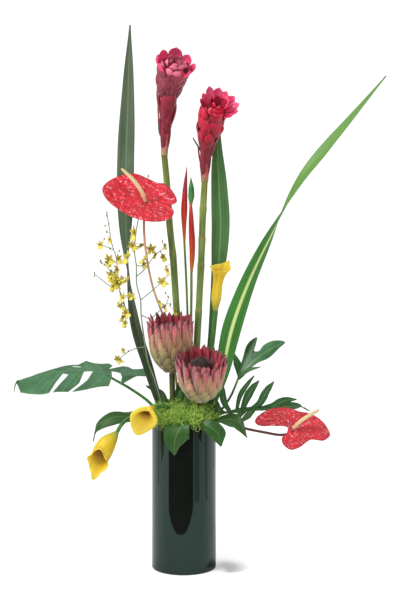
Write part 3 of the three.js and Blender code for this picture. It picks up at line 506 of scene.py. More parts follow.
def stage_sheet(name, corners, colour, glow=0.0, met_by=None):
    """A flat sheet; met_by gives how much of a ray it stops, so it can be clear to some."""
    mesh = new_mesh(name, corners, [], [list(range(len(corners)))])
    made, tree = new_finish(name, 0.9, Specular_IOR_Level=0.0,
                            **({"Emission_Color": WHITE} if glow else {}))
    worn = tuple(0.985 * c for c in colour[:3]) + (1,)
    feed(tree, "Base Color", ramp(tree, noise(tree, 3.0), [(0, colour), (1, worn)]))
    if glow:
        feed(tree, "Emission Strength", times(tree, ray(tree, "Is Camera Ray"), glow))
    if met_by:
        clear = out(add(tree, "ShaderNodeBsdfTransparent"))
        plain = out(tree.nodes["Principled BSDF"])
        both = add(tree, "ShaderNodeMixShader", {0: met_by(tree), 1: clear, 2: plain})
        tree.links.new(out(both), tree.nodes["Material Output"].inputs["Surface"])
    mesh.materials.append(made)
    new_piece(name, mesh)


def only_mirrored(tree):
    return ray(tree, "Is Glossy Ray")


def half_mirrored(tree):
    return times(tree, ray(tree, "Is Glossy Ray"), 0.5)


def wedge(low, high, near, far=2600):
    """Corners on the floor between two directions, in degrees right of the front."""
    return [(r * math.sin(math.radians(a)), -r * math.cos(math.radians(a)), 1.6)
            for a, r in ((low, near), (high, near), (high, far), (low, far))]


def only_lighting(tree):
    seen = math_node(tree, "MAXIMUM", ray(tree, "Is Camera Ray"), ray(tree, "Is Glossy Ray"))
    return times_plus(tree, seen, -0.95, 0.95)


TABLE_EDGE = [(24, -302), (261, -422), (965, -1458), (700, -2600), (-1100, -2600),
              (-1415, -1021), (-370, -288), (-125, -274)]
# painted reflection: dark wedges on the floor that half the mirror rays meet, laying dark streaks down
# the vase
STREAKS = {"table_side_right": (36, 56, 560), "table_streak_right": (80, 90, 560),
           "table_rim_right": (130, 137, 900), "table_streak_left": (-103, -97, 700)}
FOOT_FLAG = [(57, -42, 13), (80, -42, 13), (98, -14, 13), (92, 20, 13), (64, 38, 13), (57, 0, 13)]
stage_sheet("floor", [(x, y, -0.4) for x, y in ((-FAR, -FAR), (FAR, -FAR), (FAR, FAR), (-FAR, FAR))],
            PALE, glow=0.32)
stage_sheet("table_edge", [(x, y, 1.2) for x, y in TABLE_EDGE], BLACK, met_by=only_mirrored)
for name, (low, high, near) in STREAKS.items():
    stage_sheet(name, wedge(low, high, near), BLACK, met_by=half_mirrored)
stage_sheet("foot_flag", FOOT_FLAG, BLACK, met_by=only_lighting)
print("stage sheets:", 3 + len(STREAKS))

# %% [markdown]
# ## Finishes of the long leaves
#
# A long leaf has many fine veins that run its whole length, a paler line where it
# folds, and blotches where it is older. Its colours follow the leaf and not the room,
# so each leaf's mesh carries "place": from -1 to 1 across it and from 0 to 1 along it.

# %% Leaf finish
def leaf_finish(name, deep, light, midline, midwidth=0.1, under=None, veins=20, gloss=0.42,
                along=None):
    """deep and light greens, the midline's colour, and what its underside looks like."""
    look, tree = new_finish(name, gloss, Specular_IOR_Level=0.35)
    across = value_of(tree, "place", "X")
    patches = noise(tree, 26.0, 4.0)
    tone = times_plus(tree, patches, 0.35, times(tree, lines_along(tree, 11.0, 5.0), 1 - 0.35))
    green = ramp(tree, tone, [(0.3, deep), (0.7, light)])
    # along is a ramp multiplied in along the leaf; where it darkens the low end, that is painted shade
    if along:
        tones = ramp(tree, value_of(tree, "place", "Y"), along)
        green = mixed(tree, 0.85, green, tones, "MULTIPLY")
    lines = wave(tree, across, veins / 2)
    green = mixed(tree, times(tree, lines, 0.14), green, light)
    middle = band(tree, math_node(tree, "ABSOLUTE", across), midwidth * 0.35, midwidth, 1.0, 0.0)
    colour = mixed(tree, middle, green, midline)
    if under:
        back = mixed(tree, times(tree, lines, 0.2), under, light)
        colour = mixed(tree, value_of(tree, "under"), colour, back)
    feed(tree, "Roughness", times_plus(tree, patches, 0.25, gloss - 0.1))
    height = plus(tree, times(tree, lines, 0.5), times(tree, middle, -1.5))
    return dressed(look, colour, height, 0.0002, 0.5)


# the flax is darker low down, a painted shade where it goes in among the stems, and a little darker at
# its tip
FLAX_GREEN = leaf_finish("flax_green", (54, 72, 50), (94, 112, 84), (96, 114, 86), 0.12,
    along=[(0.0, (160, 185, 160)), (0.4, (175, 200, 175)), (0.62, (245, 255, 245)),
        (1, (205, 205, 205))])
BACK_GREEN = leaf_finish("back_leaf_green", (54, 96, 48), (92, 136, 76), (108, 152, 92), 0.1)
STRIPE_GREEN = leaf_finish("striped_leaf_green", (34, 96, 32), (72, 142, 54), (204, 222, 140), 0.24,
                           under=(98, 142, 60), gloss=0.38)
print("finishes so far:", len(bpy.data.materials))

# %% [markdown]
# ## A tree for long leaves
#
# A blade could be modelled by moving rows of vertices by hand. Here a flat grid is laid
# along the leaf's path instead: each grid point looks up the path's place, the two
# directions across it and its width, and moves there. The fold, a gentle ripple of the
# edges and the thickness are inputs, so one tree makes every long leaf and every short
# one round the rim. The underside is the same grid turned over, and a strip closes the edge.

# %% Blade tree
def geo(tree, kind, sockets=None, name=None, **options):
    """The output of a new geometry node."""
    return out(add(tree, "GeometryNode" + kind, sockets, **options), name)


def sampled(tree, curve, label, at, kind="FLOAT_VECTOR"):
    sockets = {"Curves": curve, "Value": named(tree, label, kind), "Factor": at}
    return geo(tree, "SampleCurve", sockets,
                   data_type=kind, mode="FACTOR", use_all_curves=True, name="Value")


def stored(tree, geometry, label, value, kind="FLOAT"):
    return geo(tree, "StoreNamedAttribute",
                   {"Geometry": geometry, "Name": label, "Value": value}, data_type=kind)


def named(tree, label, kind="FLOAT"):
    return geo(tree, "InputNamedAttribute", {"Name": label}, data_type=kind)


def moved(tree, geometry, **how):
    return geo(tree, "SetPosition", {"Geometry": geometry, **how})


def joined_up(tree, *parts):
    both = add(tree, "GeometryNodeJoinGeometry")
    for part in parts:
        tree.links.new(part, both.inputs[0])
    return out(both)


def closed_and_smooth(tree, geometry, material, angle=0.9):
    """Smooth shading that stays crisp on sharp edges, real geometry and a finish."""
    soft = geo(tree, "SetShadeSmooth", {"Geometry": geometry, "Shade Smooth": True})
    sharp = add(tree, "GeometryNodeInputMeshEdgeAngle")
    crease = out(add(tree, "FunctionNodeCompare", {0: out(sharp, "Unsigned Angle"), 1: angle},
                     data_type="FLOAT", operation="GREATER_THAN"))
    crisp = geo(tree, "SetShadeSmooth",
                    {"Geometry": soft, "Selection": crease, "Shade Smooth": False}, domain="EDGE")
    real = geo(tree, "RealizeInstances", {"Geometry": crisp})
    return geo(tree, "SetMaterial", {"Geometry": real, "Material": material})


def blade_tree():
    tree, given, result = new_tree("blade", {
        "Cells across": ("Int", 12), "Cells along": ("Int", 90), "Thickness": ("Float", 0.0006),
        "Ripple": ("Float", 0.0), "Ripples": ("Float", 5.0), "Material": ("Material", None)})
    path = geo(tree, "MeshToCurve", {"Mesh": out(given, "Geometry")})
    wide = plus(tree, out(given, "Cells across"), 1.0)
    long = plus(tree, out(given, "Cells along"), 1.0)
    grid = geo(tree, "MeshGrid", {
        "Size X": 2.0, "Size Y": 1.0, "Vertices X": wide, "Vertices Y": long}, name="Mesh")
    at = add(tree, "ShaderNodeSeparateXYZ", {0: geo(tree, "InputPosition")})
    across, along = out(at, "X"), plus(tree, out(at, "Y"), 0.5)
    grid = stored(tree, grid, "place", out(add(tree, "ShaderNodeCombineXYZ", {0: across, 1: along})),
                  "FLOAT_VECTOR")
    grid = stored(tree, grid, "under", 0.0)

    centre, side, face = (sampled(tree, path, label, along) for label in ("centre", "side", "face"))
    half = sampled(tree, path, "half", along, "FLOAT")
    fold = sampled(tree, path, "fold", along, "FLOAT")
    squared = times(tree, across, across)
    vee = math_node(tree, "SUBTRACT", math_node(tree, "SQRT", plus(tree, squared, 0.012)), 0.11)
    phase = times_plus(tree, times(tree, along, out(given, "Ripples")), 2 * math.pi,
                       times(tree, across, 2.0))
    wavy = times(tree, math_node(tree, "SINE", phase), squared)
    lift = plus(tree, times(tree, times(tree, vee, fold), half),
                times(tree, wavy, out(given, "Ripple")))
    spread = vector_math(tree, "SCALE", side, Scale=times(tree, across, half))
    raised = vector_math(tree, "SCALE", face, Scale=lift)
    where = vector_math(tree, "ADD", vector_math(tree, "ADD", centre, spread), raised)
    laid = moved(tree, grid, Position=where)

    # the edge thins out, so it isn't a cut board
    rim = times(tree, math_node(tree, "POWER", squared, 3.0), 0.6)
    thick = times(tree, out(given, "Thickness"), math_node(tree, "SUBTRACT", 1.0, rim))
    normal = geo(tree, "InputNormal")
    up, down = (moved(tree, laid, Offset=vector_math(tree, "SCALE", normal,
                                                     Scale=times(tree, thick, way)))
                for way in (0.5, -0.5))
    down = geo(tree, "FlipFaces", {"Mesh": stored(tree, down, "under", 1.0)})
    leaf = closed_and_smooth(tree, joined_up(tree, up, down), out(given, "Material"))
    tree.links.new(leaf, result.inputs[0])
    return tree


BLADE = blade_tree()
print("the blade tree has", len(BLADE.nodes), "nodes")

# %% Long leaves
BLADE_STEPS = 80


def blade(name, path, across, width, finish, thick=0.7, roll=0.0, fold=0.2, cells=(12, 90),
          ripple=0.0):
    """A leaf in millimetres along a path; roll turns it about the path in degrees."""
    u, centre, _, side, face = track(path, BLADE_STEPS, across)
    turn = np.radians(level(roll, u, 0.04))[:, None]
    side, face = (side * np.cos(turn) + face * np.sin(turn),
                  face * np.cos(turn) - side * np.sin(turn))
    half = np.maximum(level(width, u, 0.05) / 2, 0.25)
    guide = new_mesh(name, centre, chain(BLADE_STEPS), [], centre=centre * MM, side=side,
                     face=face, half=half * MM, fold=level(fold, u, 0.04))
    piece = grow(name, guide, BLADE, **{
        "Cells across": cells[0], "Cells along": cells[1], "Thickness": thick * MM,
        "Ripple": ripple * MM, "Ripples": 2.5 if ripple else 5.0, "Material": finish})
    mended(piece.data, close=bmesh.ops.bridge_loops)
    return piece


FLAX = [(-31, 8, 200), (-34, 8, 245), (-45, 9, 276), (-60, 11, 326), (-75, 14, 374), (-85, 18, 434),
    (-92, 22, 500), (-95, 27, 580), (-95, 28, 650), (-92, 27, 740), (-88, 26, 870)]
BACK_PATH = [(24, 31, 200), (28, 32, 250), (36, 33, 302), (43, 33, 349), (50, 33, 430), (56, 33, 486),
    (59, 32, 548), (57, 31, 600), (54, 31, 668), (56, 30, 722)]
STRIPED = [(33, 4, 200), (38, 4, 243), (48, 6, 266), (61, 8, 308), (77, 12, 379), (102, 16, 448),
           (135, 20, 518), (189, 22, 618), (227, 22, 668), (264, 22, 712), (326, 20, 786)]
# path, finish, then width, roll and fold along it
LONG_LEAVES = {
    "flax_leaf": (FLAX, FLAX_GREEN,
        [(0, 12), (0.08, 13), (0.2, 19), (0.4, 24), (0.6, 29), (0.75, 27), (0.9, 15), (1, 1.2)],
        [(0, 30), (0.2, 34), (0.3, 50), (0.37, 80), (0.42, 95), (0.52, 145), (0.62, 172), (1, 180)],
        [(0, 0.1), (0.3, 0.22), (0.6, 0.14), (1, 0.1)]),
    "back_leaf": (BACK_PATH, BACK_GREEN,
        [(0, 9), (0.28, 11), (0.45, 15), (0.6, 28), (0.7, 30), (0.83, 24), (0.94, 10), (1, 1.2)],
        [(0, 10), (1, -10)], 0.24),
    "striped_leaf": (STRIPED, STRIPE_GREEN,
        [(0, 9), (0.08, 10), (0.16, 22), (0.27, 32), (0.4, 27), (0.6, 23), (0.76, 20), (0.9, 8),
            (1, 1.2)],
        [(0, 0), (0.3, 4), (0.5, 50), (0.62, 105), (0.74, 142), (0.86, 150), (1, 160)],
        [(0, 0.1), (0.3, 0.2), (1, 0.16)])}
for node, (path, finish, width, roll, fold) in LONG_LEAVES.items():
    settle(blade(node + "_blade", path, RIGHT, width, finish, 1.1, roll, fold), node)

# %% [markdown]
# ## Stems
#
# A stem is a round section carried along a path. Blender's own Curve to Mesh does this
# in one node: the guide's points become a curve, a circle is the section, and the
# radius at each point scales it. The tree also stores how far along the stem each point
# lies, so a finish can darken one end as painted shade or mark the joints.

# %% Stem tree and stem finish
def stem_tree():
    tree, given, result = new_tree("stem", {"Sides": ("Int", 14), "Material": ("Material", None)})
    path = geo(tree, "MeshToCurve", {"Mesh": out(given, "Geometry")})
    share = geo(tree, "SplineParameter", name="Factor")
    path = stored(tree, path, "place", out(add(tree, "ShaderNodeCombineXYZ", {1: share})),
                  "FLOAT_VECTOR")
    section = geo(tree, "CurvePrimitiveCircle",
                      {"Resolution": out(given, "Sides"), "Radius": 1.0})
    skin = geo(tree, "CurveToMesh", {
        "Curve": path, "Profile Curve": section, "Scale": named(tree, "radius"), "Fill Caps": True})
    tree.links.new(closed_and_smooth(tree, skin, out(given, "Material"), 1.0), result.inputs[0])
    return tree


STEM = stem_tree()


def stem(name, path, radius, finish, steps=60, sides=14, blur=0.0):
    """A round stem in millimetres; radius may change along it."""
    u, centre, *_ = track(path, steps)
    guide = new_mesh(name, centre, chain(steps), [], radius=level(radius, u, blur) * MM)
    return grow(name, guide, STEM, Sides=sides, Material=finish)


def stem_finish(name, low, high, streak, along=None, joints=(), joint_colour=None, gloss=0.45,
                grain=260.0):
    """Two tones and long streaks; joints are shares of the length with a ring each."""
    look, tree = new_finish(name, gloss, Specular_IOR_Level=0.35)
    length = value_of(tree, "place", "Y")
    fibre = noise(tree, grain, 3.0, stretch=(1.0, 1.0, 0.06))
    tone = times_plus(tree, fibre, 0.6, times(tree, noise(tree, 30.0), 0.4))
    colour = ramp(tree, tone, [(0.35, low), (0.62, high)])
    colour = laid_on(tree, colour, fibre, 0.55, 0.7, 0.35, streak)
    # along is a ramp multiplied in along the stem; where it darkens the low end, that is painted shade
    if along:
        colour = mixed(tree, 1.0, colour, ramp(tree, length, along), "MULTIPLY")
    ring = None
    for at in joints:
        near = math_node(tree, "ABSOLUTE", math_node(tree, "SUBTRACT", length, at))
        mark = band(tree, near, 0.001, 0.009, 1.0, 0.0)
        ring = math_node(tree, "MAXIMUM", ring, mark) if ring else mark
    if ring:
        colour = mixed(tree, times(tree, ring, 0.5), colour, joint_colour)
    return dressed(look, colour, fibre, 0.0004, 0.5)


def jointed(base, joints):
    """Radius rows of a stem that swells a little at each sheath joint."""
    rows = [(0, base)]
    for u in joints:
        rows += [(u - 0.03, base + 0.1), (u, base + 0.55), (u + 0.004, base - 0.1),
                 (u + 0.04, base - 0.2)]
    return rows + [(1, base - 0.6)]


# %% [markdown]
# The ginger stems are canes wrapped in leaf sheaths, so they swell a little and turn
# yellowish at each joint. The heliconia, calla and protea stems are plain. The upper
# anthurium's stem changes from cream-green low down to dark brown under its flower.
# The ginger canes and this stem are darkened low down with painted shade, where they go
# down among the leaves.

# %% Stems
# along darkens each cane low down with painted shade, and makes it warmer near the head
GINGER_CANE = dict(low=(72, 100, 44), high=(130, 156, 82), streak=(152, 168, 88),
    joint_colour=(150, 128, 70),
    along=[(0.0, (110, 125, 100)), (0.25, (190, 205, 180)), (0.5, WHITE), (0.9, (255, 240, 200)),
        (1.0, (250, 205, 170))])
CANES = {
    "left": ((0.36, 0.66, 0.84),
        [(-1, 21, 200), (-2, 22, 262), (-4, 26, 324), (-12, 28, 402), (-18, 26, 492), (-24, 24, 549),
            (-28, 22, 613), (-32, 19, 657)]),
    "right": ((0.5, 0.68, 0.78, 0.9),
        [(16, 14, 200), (16, 14, 262), (19, 14, 324), (23, 14, 400), (28, 14, 500), (30, 14, 560),
            (33, 14, 614)])}
for side, (joints, path) in CANES.items():
    cane = stem_finish("ginger_cane_" + side, joints=joints, **GINGER_CANE)
    settle(stem(f"ginger_{side}_cane", path, jointed(5.5, joints), cane, 160, 18),
           f"ginger_{side}_stem")

THIN_GREEN = stem_finish("heliconia_stem_green", (88, 118, 46), (128, 156, 70), (156, 176, 92))
# the darker olive foot is painted shade; cream above it and brown under the flower
CREAM_TO_BROWN = [(0.0, (130, 160, 90)), (0.4, (240, 240, 190)), (0.6, WHITE),
    (0.84, (240, 225, 215)), (0.97, (140, 105, 80))]
STALK_BROWN = stem_finish("anthurium_stalk_brown", (190, 150, 118), (222, 184, 150), (200, 170, 120),
    along=CREAM_TO_BROWN)
STALK_DARK = stem_finish("anthurium_stalk_dark", (62, 40, 34), (96, 60, 46), (90, 90, 50))
WOODY = stem_finish("protea_wood", (52, 60, 30), (86, 94, 48), (100, 82, 50), gloss=0.7)
FRESH = stem_finish("calla_stem_green", (40, 88, 34), (78, 132, 58), (100, 150, 76), gloss=0.38)
PROTEA_LEAF = leaf_finish("protea_leaf_green", (30, 64, 22), (60, 104, 40), (92, 126, 66), 0.08,
    veins=8)


def stalks(finish, rows):
    """Plain stems, each given as node: (radius, path)."""
    for node, (radius, path) in rows.items():
        settle(stem(node.replace("stem", "stalk"), path, radius, finish), node)


stalks(THIN_GREEN,
    {
        "heliconia_left_stem": (1.8,
            [(4, 35, 200), (4, 35, 262), (5, 37, 343), (5, 38, 398), (3, 38, 457), (0, 36, 518)]),
        "heliconia_right_stem": (2.2,
            [(12, 32, 200), (12, 32, 262), (11, 32, 343), (11, 33, 398), (11.5, 33, 440),
                (11.5, 32, 468)])})
stalks(STALK_BROWN, {"anthurium_top_stem": (1.8, [
    (-8, 10, 200), (-9, 12, 250), (-13, 22, 292), (-20, 30, 343), (-35, 27, 400), (-49, 11, 440),
    (-57, -1, 478), (-62, -8, 515), (-63, -14, 550), (-60.5, -22.4, 575.2)])})
stalks(STALK_DARK, {"anthurium_side_stem": (2.1, [
    (20, -2, 236), (46, -12, 236), (64, -20, 233), (96, -26, 223), (127, -29, 217), (150, -31, 213.5),
    (162, -32, 215), (170, -32, 220)])})
PROTEA_LEAF_WIDTH = [(0, 3), (0.35, 13), (0.75, 12), (1, 1.5)]
# each protea's stalk, then the leaves on it
PROTEA_STEMS = {
    "left": (
        [(-18, -6, 200), (-18, -6, 262), (-19, -9.9, 307)],
        [
            [(-17, -2, 234), (-13, 1, 262), (-5, 2, 290), (0, 2, 312)],
            [(-19, -10, 236), (-26, -14, 256), (-36, -16, 276)],
            [(-16, -8, 236), (-8, -16, 256), (-4, -20, 286)]]),
    "right": (
        [(21, -15, 200), (22, -19, 232), (26, -31.9, 266)],
        [
            [(26, -14, 236), (38, -12, 258), (48, -14, 284)],
            [(23, -10, 234), (30, -2, 266), (34, 0, 300)],
            [(20, -22, 236), (10, -28, 250), (6, -30, 270)],
            [(27, -18, 236), (42, -24, 246), (56, -26, 262)]])}
for side, (path, leaves) in PROTEA_STEMS.items():
    parts = [stem(f"protea_{side}_stalk", path, 4.5, WOODY, 30)]
    parts += [blade(f"protea_{side}_leaf_{n}", leaf, (1, -0.3, -0.2), PROTEA_LEAF_WIDTH, PROTEA_LEAF,
                    cells=(8, 24)) for n, leaf in enumerate(leaves)]
    settle(joined(f"protea_{side}_leafy_stalk", parts), f"protea_{side}_stem")
stalks(FRESH,
    {
        "calla_upright_stem": (3.2,
            [(27, 17, 200), (29, 17, 255), (37, 15, 308), (44, 13, 350), (49.8, 12.1, 406)]),
        "calla_front_stem": (3.1,
            [(-20, -25, 200), (-20, -25, 240), (-25, -33, 256), (-33, -41, 260),
                (-43.8, -48.8, 257.2)]),
        "calla_drooping_stem": (3.1,
            [(-28, -17, 237), (-47, -28, 239), (-64, -36, 245), (-84, -40, 241), (-96, -41.5, 231),
                (-102.9, -42, 219.2)])})

# %% [markdown]
# ## Petals and bracts
#
# A bract is a small stiff leaf, cupped like a spoon. One is made as a closed sheet of
# two faces, thickest along its middle and thin at its rim, at unit size. A Geometry
# Nodes tree then copies it to every place on a flower head, turned by two directions
# and scaled in length and width that each place carries as attributes. The copies are
# made real, because the exported model has no instances.

# %% Sheets and the head tree
def sheet_mesh(name, middle, thick, place, wrapped=False):
    """A closed two-faced sheet from a grid of points in millimetres [along][across]."""
    rows, columns = middle.shape[:2]
    du = np.gradient(middle, axis=0)
    if wrapped:
        dv = np.roll(middle, -1, axis=1) - np.roll(middle, 1, axis=1)
    else:
        dv = np.gradient(middle, axis=1)
    half = unit(np.cross(dv, du)) * thick[..., None] / 2
    count, spans = rows * columns, columns - (not wrapped)
    faces = []
    for i in range(rows - 1):
        for k in range(spans):
            a, b = i * columns + k, i * columns + (k + 1) % columns
            c, d = a + columns, b + columns
            faces += [(a, b, d, c), (count + a, count + c, count + d, count + b)]
    last = rows - 1
    rims = [((0, k), (0, k + 1)) for k in range(spans)]
    rims += [((last, k + 1), (last, k)) for k in range(spans)]
    if not wrapped:
        edge = columns - 1
        rims += [((i + 1, 0), (i, 0)) for i in range(last)]
        rims += [((i, edge), (i + 1, edge)) for i in range(last)]
    for (i0, k0), (i1, k1) in rims:
        a, b = i0 * columns + k0 % columns, i1 * columns + k1 % columns
        faces.append((b, a, count + a, count + b))
    mesh = new_mesh(name, [middle + half, middle - half], [], faces,
                    place=np.tile(place.reshape(-1, 3), (2, 1)), under=np.repeat([0.0, 1.0], count))
    mended(mesh, merge=2e-7)
    mesh.shade_smooth()
    return mesh


def bract_mesh(name, outline, cup, curl, thick, cells=(8, 12), tip_roll=0.0, keel=0.0):
    """A spoon of unit length and width; outline gives its half width along it."""
    across, along = np.meshgrid(np.linspace(-1, 1, cells[0] + 1),
                                np.linspace(0, 1, cells[1] + 1) ** 0.9)
    half = np.maximum(level(outline, along, 0.05), 0.004) * 0.5
    rise = cup * half * 2 * (1 - across**2) + curl * along**2
    rise += tip_roll * np.maximum(along - 0.75, 0) ** 2 * 8
    rise += keel * half * 2 * np.exp(-((across * 4) ** 2))
    middle = np.stack([across * half, along, rise], axis=-1) / MM
    edge = 1 - 0.8 * np.abs(across) ** 3
    return sheet_mesh(name, middle, edge * thick / MM, np.stack([across, along, 0 * along], axis=-1))


def head_tree():
    tree, given, result = new_tree("flower_head", {
        "Bract": ("Object", None), "Material": ("Material", None)})
    shape = geo(tree, "ObjectInfo", {"Object": out(given, "Bract"), "As Instance": True},
                name="Geometry")
    way, side, size = (named(tree, label, "FLOAT_VECTOR") for label in ("way", "side", "size"))
    turn = out(add(tree, "FunctionNodeAxesToRotation", {"Primary Axis": way, "Secondary Axis": side},
                   primary_axis="Y", secondary_axis="X"))
    copies = geo(tree, "InstanceOnPoints", {
        "Points": out(given, "Geometry"), "Instance": shape, "Rotation": turn, "Scale": size})
    real = geo(tree, "RealizeInstances", {"Geometry": copies})
    dressed = geo(tree, "SetMaterial", {"Geometry": real, "Material": out(given, "Material")})
    tree.links.new(dressed, result.inputs[0])
    return tree


HEAD = head_tree()


def bracts(name, mesh, finish, roots, way, face, length, width, depth=None, tint=None):
    """Copies one bract to many places; way points along it and face out of its back."""
    way, face = unit(way), np.asarray(face, float)
    side = unit(np.cross(way, face))
    width, length = np.broadcast_to(width, len(roots)), np.broadcast_to(length, len(roots))
    depth = width if depth is None else np.broadcast_to(depth, len(roots))
    size = np.stack([width, length, depth], axis=-1) * MM
    tint = np.linspace(0, 1, len(roots)) if tint is None else tint
    model = new_piece(name + "_model", mesh)
    guide = new_mesh(name, roots, [], [], way=way, side=side, size=size, tint=tint)
    piece = grow(name, guide, HEAD, Bract=model, Material=finish)
    bpy.data.objects.remove(model)
    return piece


def around(row, turn, radius, tilt):
    """Root, direction and outward face of bracts round one step of a track."""
    centre, along, side, face = row
    turn, tilt = np.radians(turn)[:, None], np.radians(tilt)[:, None]
    outward = side * np.cos(turn) + face * np.sin(turn)
    way = along * np.cos(tilt) + outward * np.sin(tilt)
    back = outward * np.cos(tilt) - along * np.sin(tilt)
    return centre + outward * np.asarray(radius, float)[:, None], way, back


def clothe(path, shapes):
    """Roots and directions of bracts given as (turn, height, radius, tilt, length, width)."""
    turn, height, radius, tilt, length, width = np.array(shapes, float).T
    _, centre, along, side, face = track(path, 48)
    at = np.clip(np.round(height * 48).astype(int), 0, 48)
    return (*around((centre[at], along[at], side[at], face[at]), turn, radius, tilt), length, width)


# %% [markdown]
# ## Torch gingers
#
# A torch ginger is a trumpet of overlapping waxy sheaths. At its mouth they open into
# spoon-shaped bracts, hot pink with a deeper rim, round a darker cup of smaller ones.
# The left head is still half closed and the right one is open and leans to the right.

# %% Ginger finishes
def bract_finish(name, root, body, tip, rim, streak, streaks=9.0, rimwidth=0.75):
    """Root to tip colours, a darker rim, fine pale lines along the bract, and painted light on its
    underside.
    """
    look, tree = new_finish(name, 0.35, Specular_IOR_Level=0.4,
                                           Subsurface_Weight=0.08, Subsurface_Scale=0.002)
    across, length = value_of(tree, "place", "X"), value_of(tree, "place", "Y")
    colour = ramp(tree, length, [(0.0, root), (0.45, body), (0.95, tip)])
    lines = lines_along(tree, streaks, 1.6, 2.0, tint=40.0)
    colour = laid_on(tree, colour, lines, 0.5, 0.72, 0.5, streak)
    edge = band(tree, math_node(tree, "ABSOLUTE", across), rimwidth, 1.0, 0.0, 0.75)
    # painted light: the underside, which lies in shade, is mixed a little towards the pale streak
    # colour
    colour = under_mix(tree, 0.16, mixed(tree, edge, colour, rim), streak)
    colour = varied(tree, colour, 0.3, times_plus(tree, noise(tree, 90.0), 0.3, 0.85))
    return dressed(look, colour, lines, 0.0003, 0.5)


GINGER_SPOON, GINGER_INNER, GINGER_SHEATH, GINGER_BAND, GINGER_RED = (bract_finish(*row) for row in (
    ("ginger_bract_pink", (150, 8, 44), (232, 30, 92), (240, 56, 118), (200, 4, 60), (250, 150, 184)),
    ("ginger_bract_dusky", (112, 20, 40), (182, 66, 92), (218, 104, 134), (140, 16, 48),
        (226, 150, 166)),
    ("ginger_sheath_red", (112, 24, 38), (124, 24, 42), (156, 32, 56), (84, 20, 32), (146, 92, 96),
        16.0, 0.85),
    ("ginger_band_mauve", (110, 28, 44), (132, 40, 58), (172, 62, 86), (80, 14, 34), (182, 120, 130),
        14.0, 0.6),
    ("ginger_bract_red", (96, 2, 16), (164, 8, 38), (204, 22, 62), (96, 0, 16), (222, 70, 104))))


def neck_finish(name, stops):
    """The sheath of the neck: colours along it, dull brown streaks and folds."""
    look, tree = new_finish(name, 0.42, Specular_IOR_Level=0.35)
    fibre = noise(tree, 230.0, 4.0, stretch=(1.0, 1.0, 0.14))
    colour = ramp(tree, value_of(tree, "place", "Y"), stops)
    colour = laid_on(tree, colour, fibre, 0.5, 0.75, 0.6, (140, 104, 104))
    dirt = band(tree, noise(tree, 60.0, 5.0), 0.5, 0.7, 0.0, 0.45)
    return dressed(look, mixed(tree, dirt, colour, (92, 24, 38)), fibre, 0.0008, 0.7)


LEFT_NECK = neck_finish("ginger_neck_left",
    [(0.0, (150, 140, 84)), (0.12, (190, 104, 104)), (0.3, (170, 42, 66)), (0.7, (160, 30, 54)),
        (0.88, (134, 60, 74)), (1.0, (92, 30, 44))])
RIGHT_NECK = neck_finish("ginger_neck_right",
    [(0.0, (160, 140, 90)), (0.1, (176, 80, 80)), (0.25, (140, 34, 52)), (0.7, (160, 14, 40)),
        (1.0, (120, 4, 24))])
STUB_BROWN = stem_finish("stub_brown", (74, 68, 60), (104, 96, 84), (90, 70, 60), gloss=0.8)

# %% Ginger heads
SPOON = bract_mesh("spoon",
    [(0, 0.5), (0.25, 0.72), (0.5, 0.95), (0.72, 1.0), (0.88, 0.78), (0.96, 0.42), (1, 0.0)],
    cup=0.24, curl=-0.08, thick=0.07, tip_roll=-0.1)
SHEATH = bract_mesh("sheath",
    [(0, 0.5), (0.3, 0.9), (0.5, 1.0), (0.72, 0.86), (0.88, 0.5), (0.96, 0.2), (1, 0.0)], cup=0.2,
    curl=-0.01, thick=0.035, cells=(8, 12), keel=0.015)
LEFT_AXIS = [(-32, 19, 657), (-31, 18, 690), (-28, 14, 725), (-25, 7, 755), (-20, -4, 776),
    (-16, -16, 788)]
LEFT_GIRTH = [(0, 5.4), (0.23, 7.2), (0.34, 9), (0.47, 11), (0.7, 15.5), (0.87, 20), (1, 21)]
LEFT_OUTER = [(90, 0.94, 16, 30, 32, 23), (46, 0.94, 16, 34, 29, 21), (4, 0.94, 16, 38, 28, 20),
    (-36, 0.95, 16, 38, 22, 17), (-150, 0.95, 16, 34, 22, 17), (-184, 0.95, 16, 34, 27, 20),
    (136, 0.94, 16, 32, 29, 21)]
LEFT_INNER = [(64, 1, 9, 22, 17, 15), (14, 1, 9, 22, 16, 15), (-46, 1, 11, 14, 16, 17),
    (-98, 1, 11, 14, 14, 17), (194, 1, 10, 16, 16, 16), (124, 1, 9, 22, 17, 15),
    (30, 1, 4, 10, 15, 12), (150, 1, 5, 10, 14, 12), (270, 1, 4, 8, 13, 13),
    (-78, 0.95, 15, 24, 17, 18), (-112, 0.95, 15, 24, 18, 17)]
RIGHT_AXIS = [(33, 14, 614), (33.5, 13.5, 644), (36, 11, 666), (39, 5, 688), (43, -4, 710),
    (49, -19, 723)]
RIGHT_GIRTH = [(0, 5.8), (0.25, 7.8), (0.44, 10), (0.63, 14.5), (0.8, 19), (0.9, 20), (1, 14)]
RIGHT_OUTER = [(86, 0.96, 6, 58, 36, 18), (114, 0.95, 6, 56, 36, 16), (62, 1, 5, 50, 31, 15),
    (42, 0.96, 7, 60, 36, 18), (16, 0.97, 7, 62, 34, 18), (-10, 0.98, 7, 62, 31, 17),
    (-38, 0.98, 7, 60, 28, 16), (140, 0.94, 6, 56, 30, 14), (64, 1, 3, 34, 26, 14),
    (20, 1, 3, 34, 26, 14), (-20, 1, 3, 34, 22, 13)]
RIGHT_INNER = [(100, 1, 2, 24, 22, 12), (-20, 1, 2, 24, 20, 12), (220, 1, 2, 24, 18, 12),
    (40, 1, 3, 30, 22, 12), (160, 1, 3, 30, 22, 12), (280, 1, 3, 30, 18, 12),
    (-12, 0.56, 8, 34, 28, 15), (166, 0.94, 6, 56, 27, 12), (186, 0.94, 7, 52, 24, 11),
    (208, 0.93, 7, 50, 22, 12), (-70, 0.98, 6, 52, 21, 13), (236, 0.95, 7, 48, 20, 12),
    (262, 0.96, 6, 48, 19, 12)]


SUNK = 2.2  # how deep a sheath's root lies in the trumpet
HEAD_LENGTH = 130


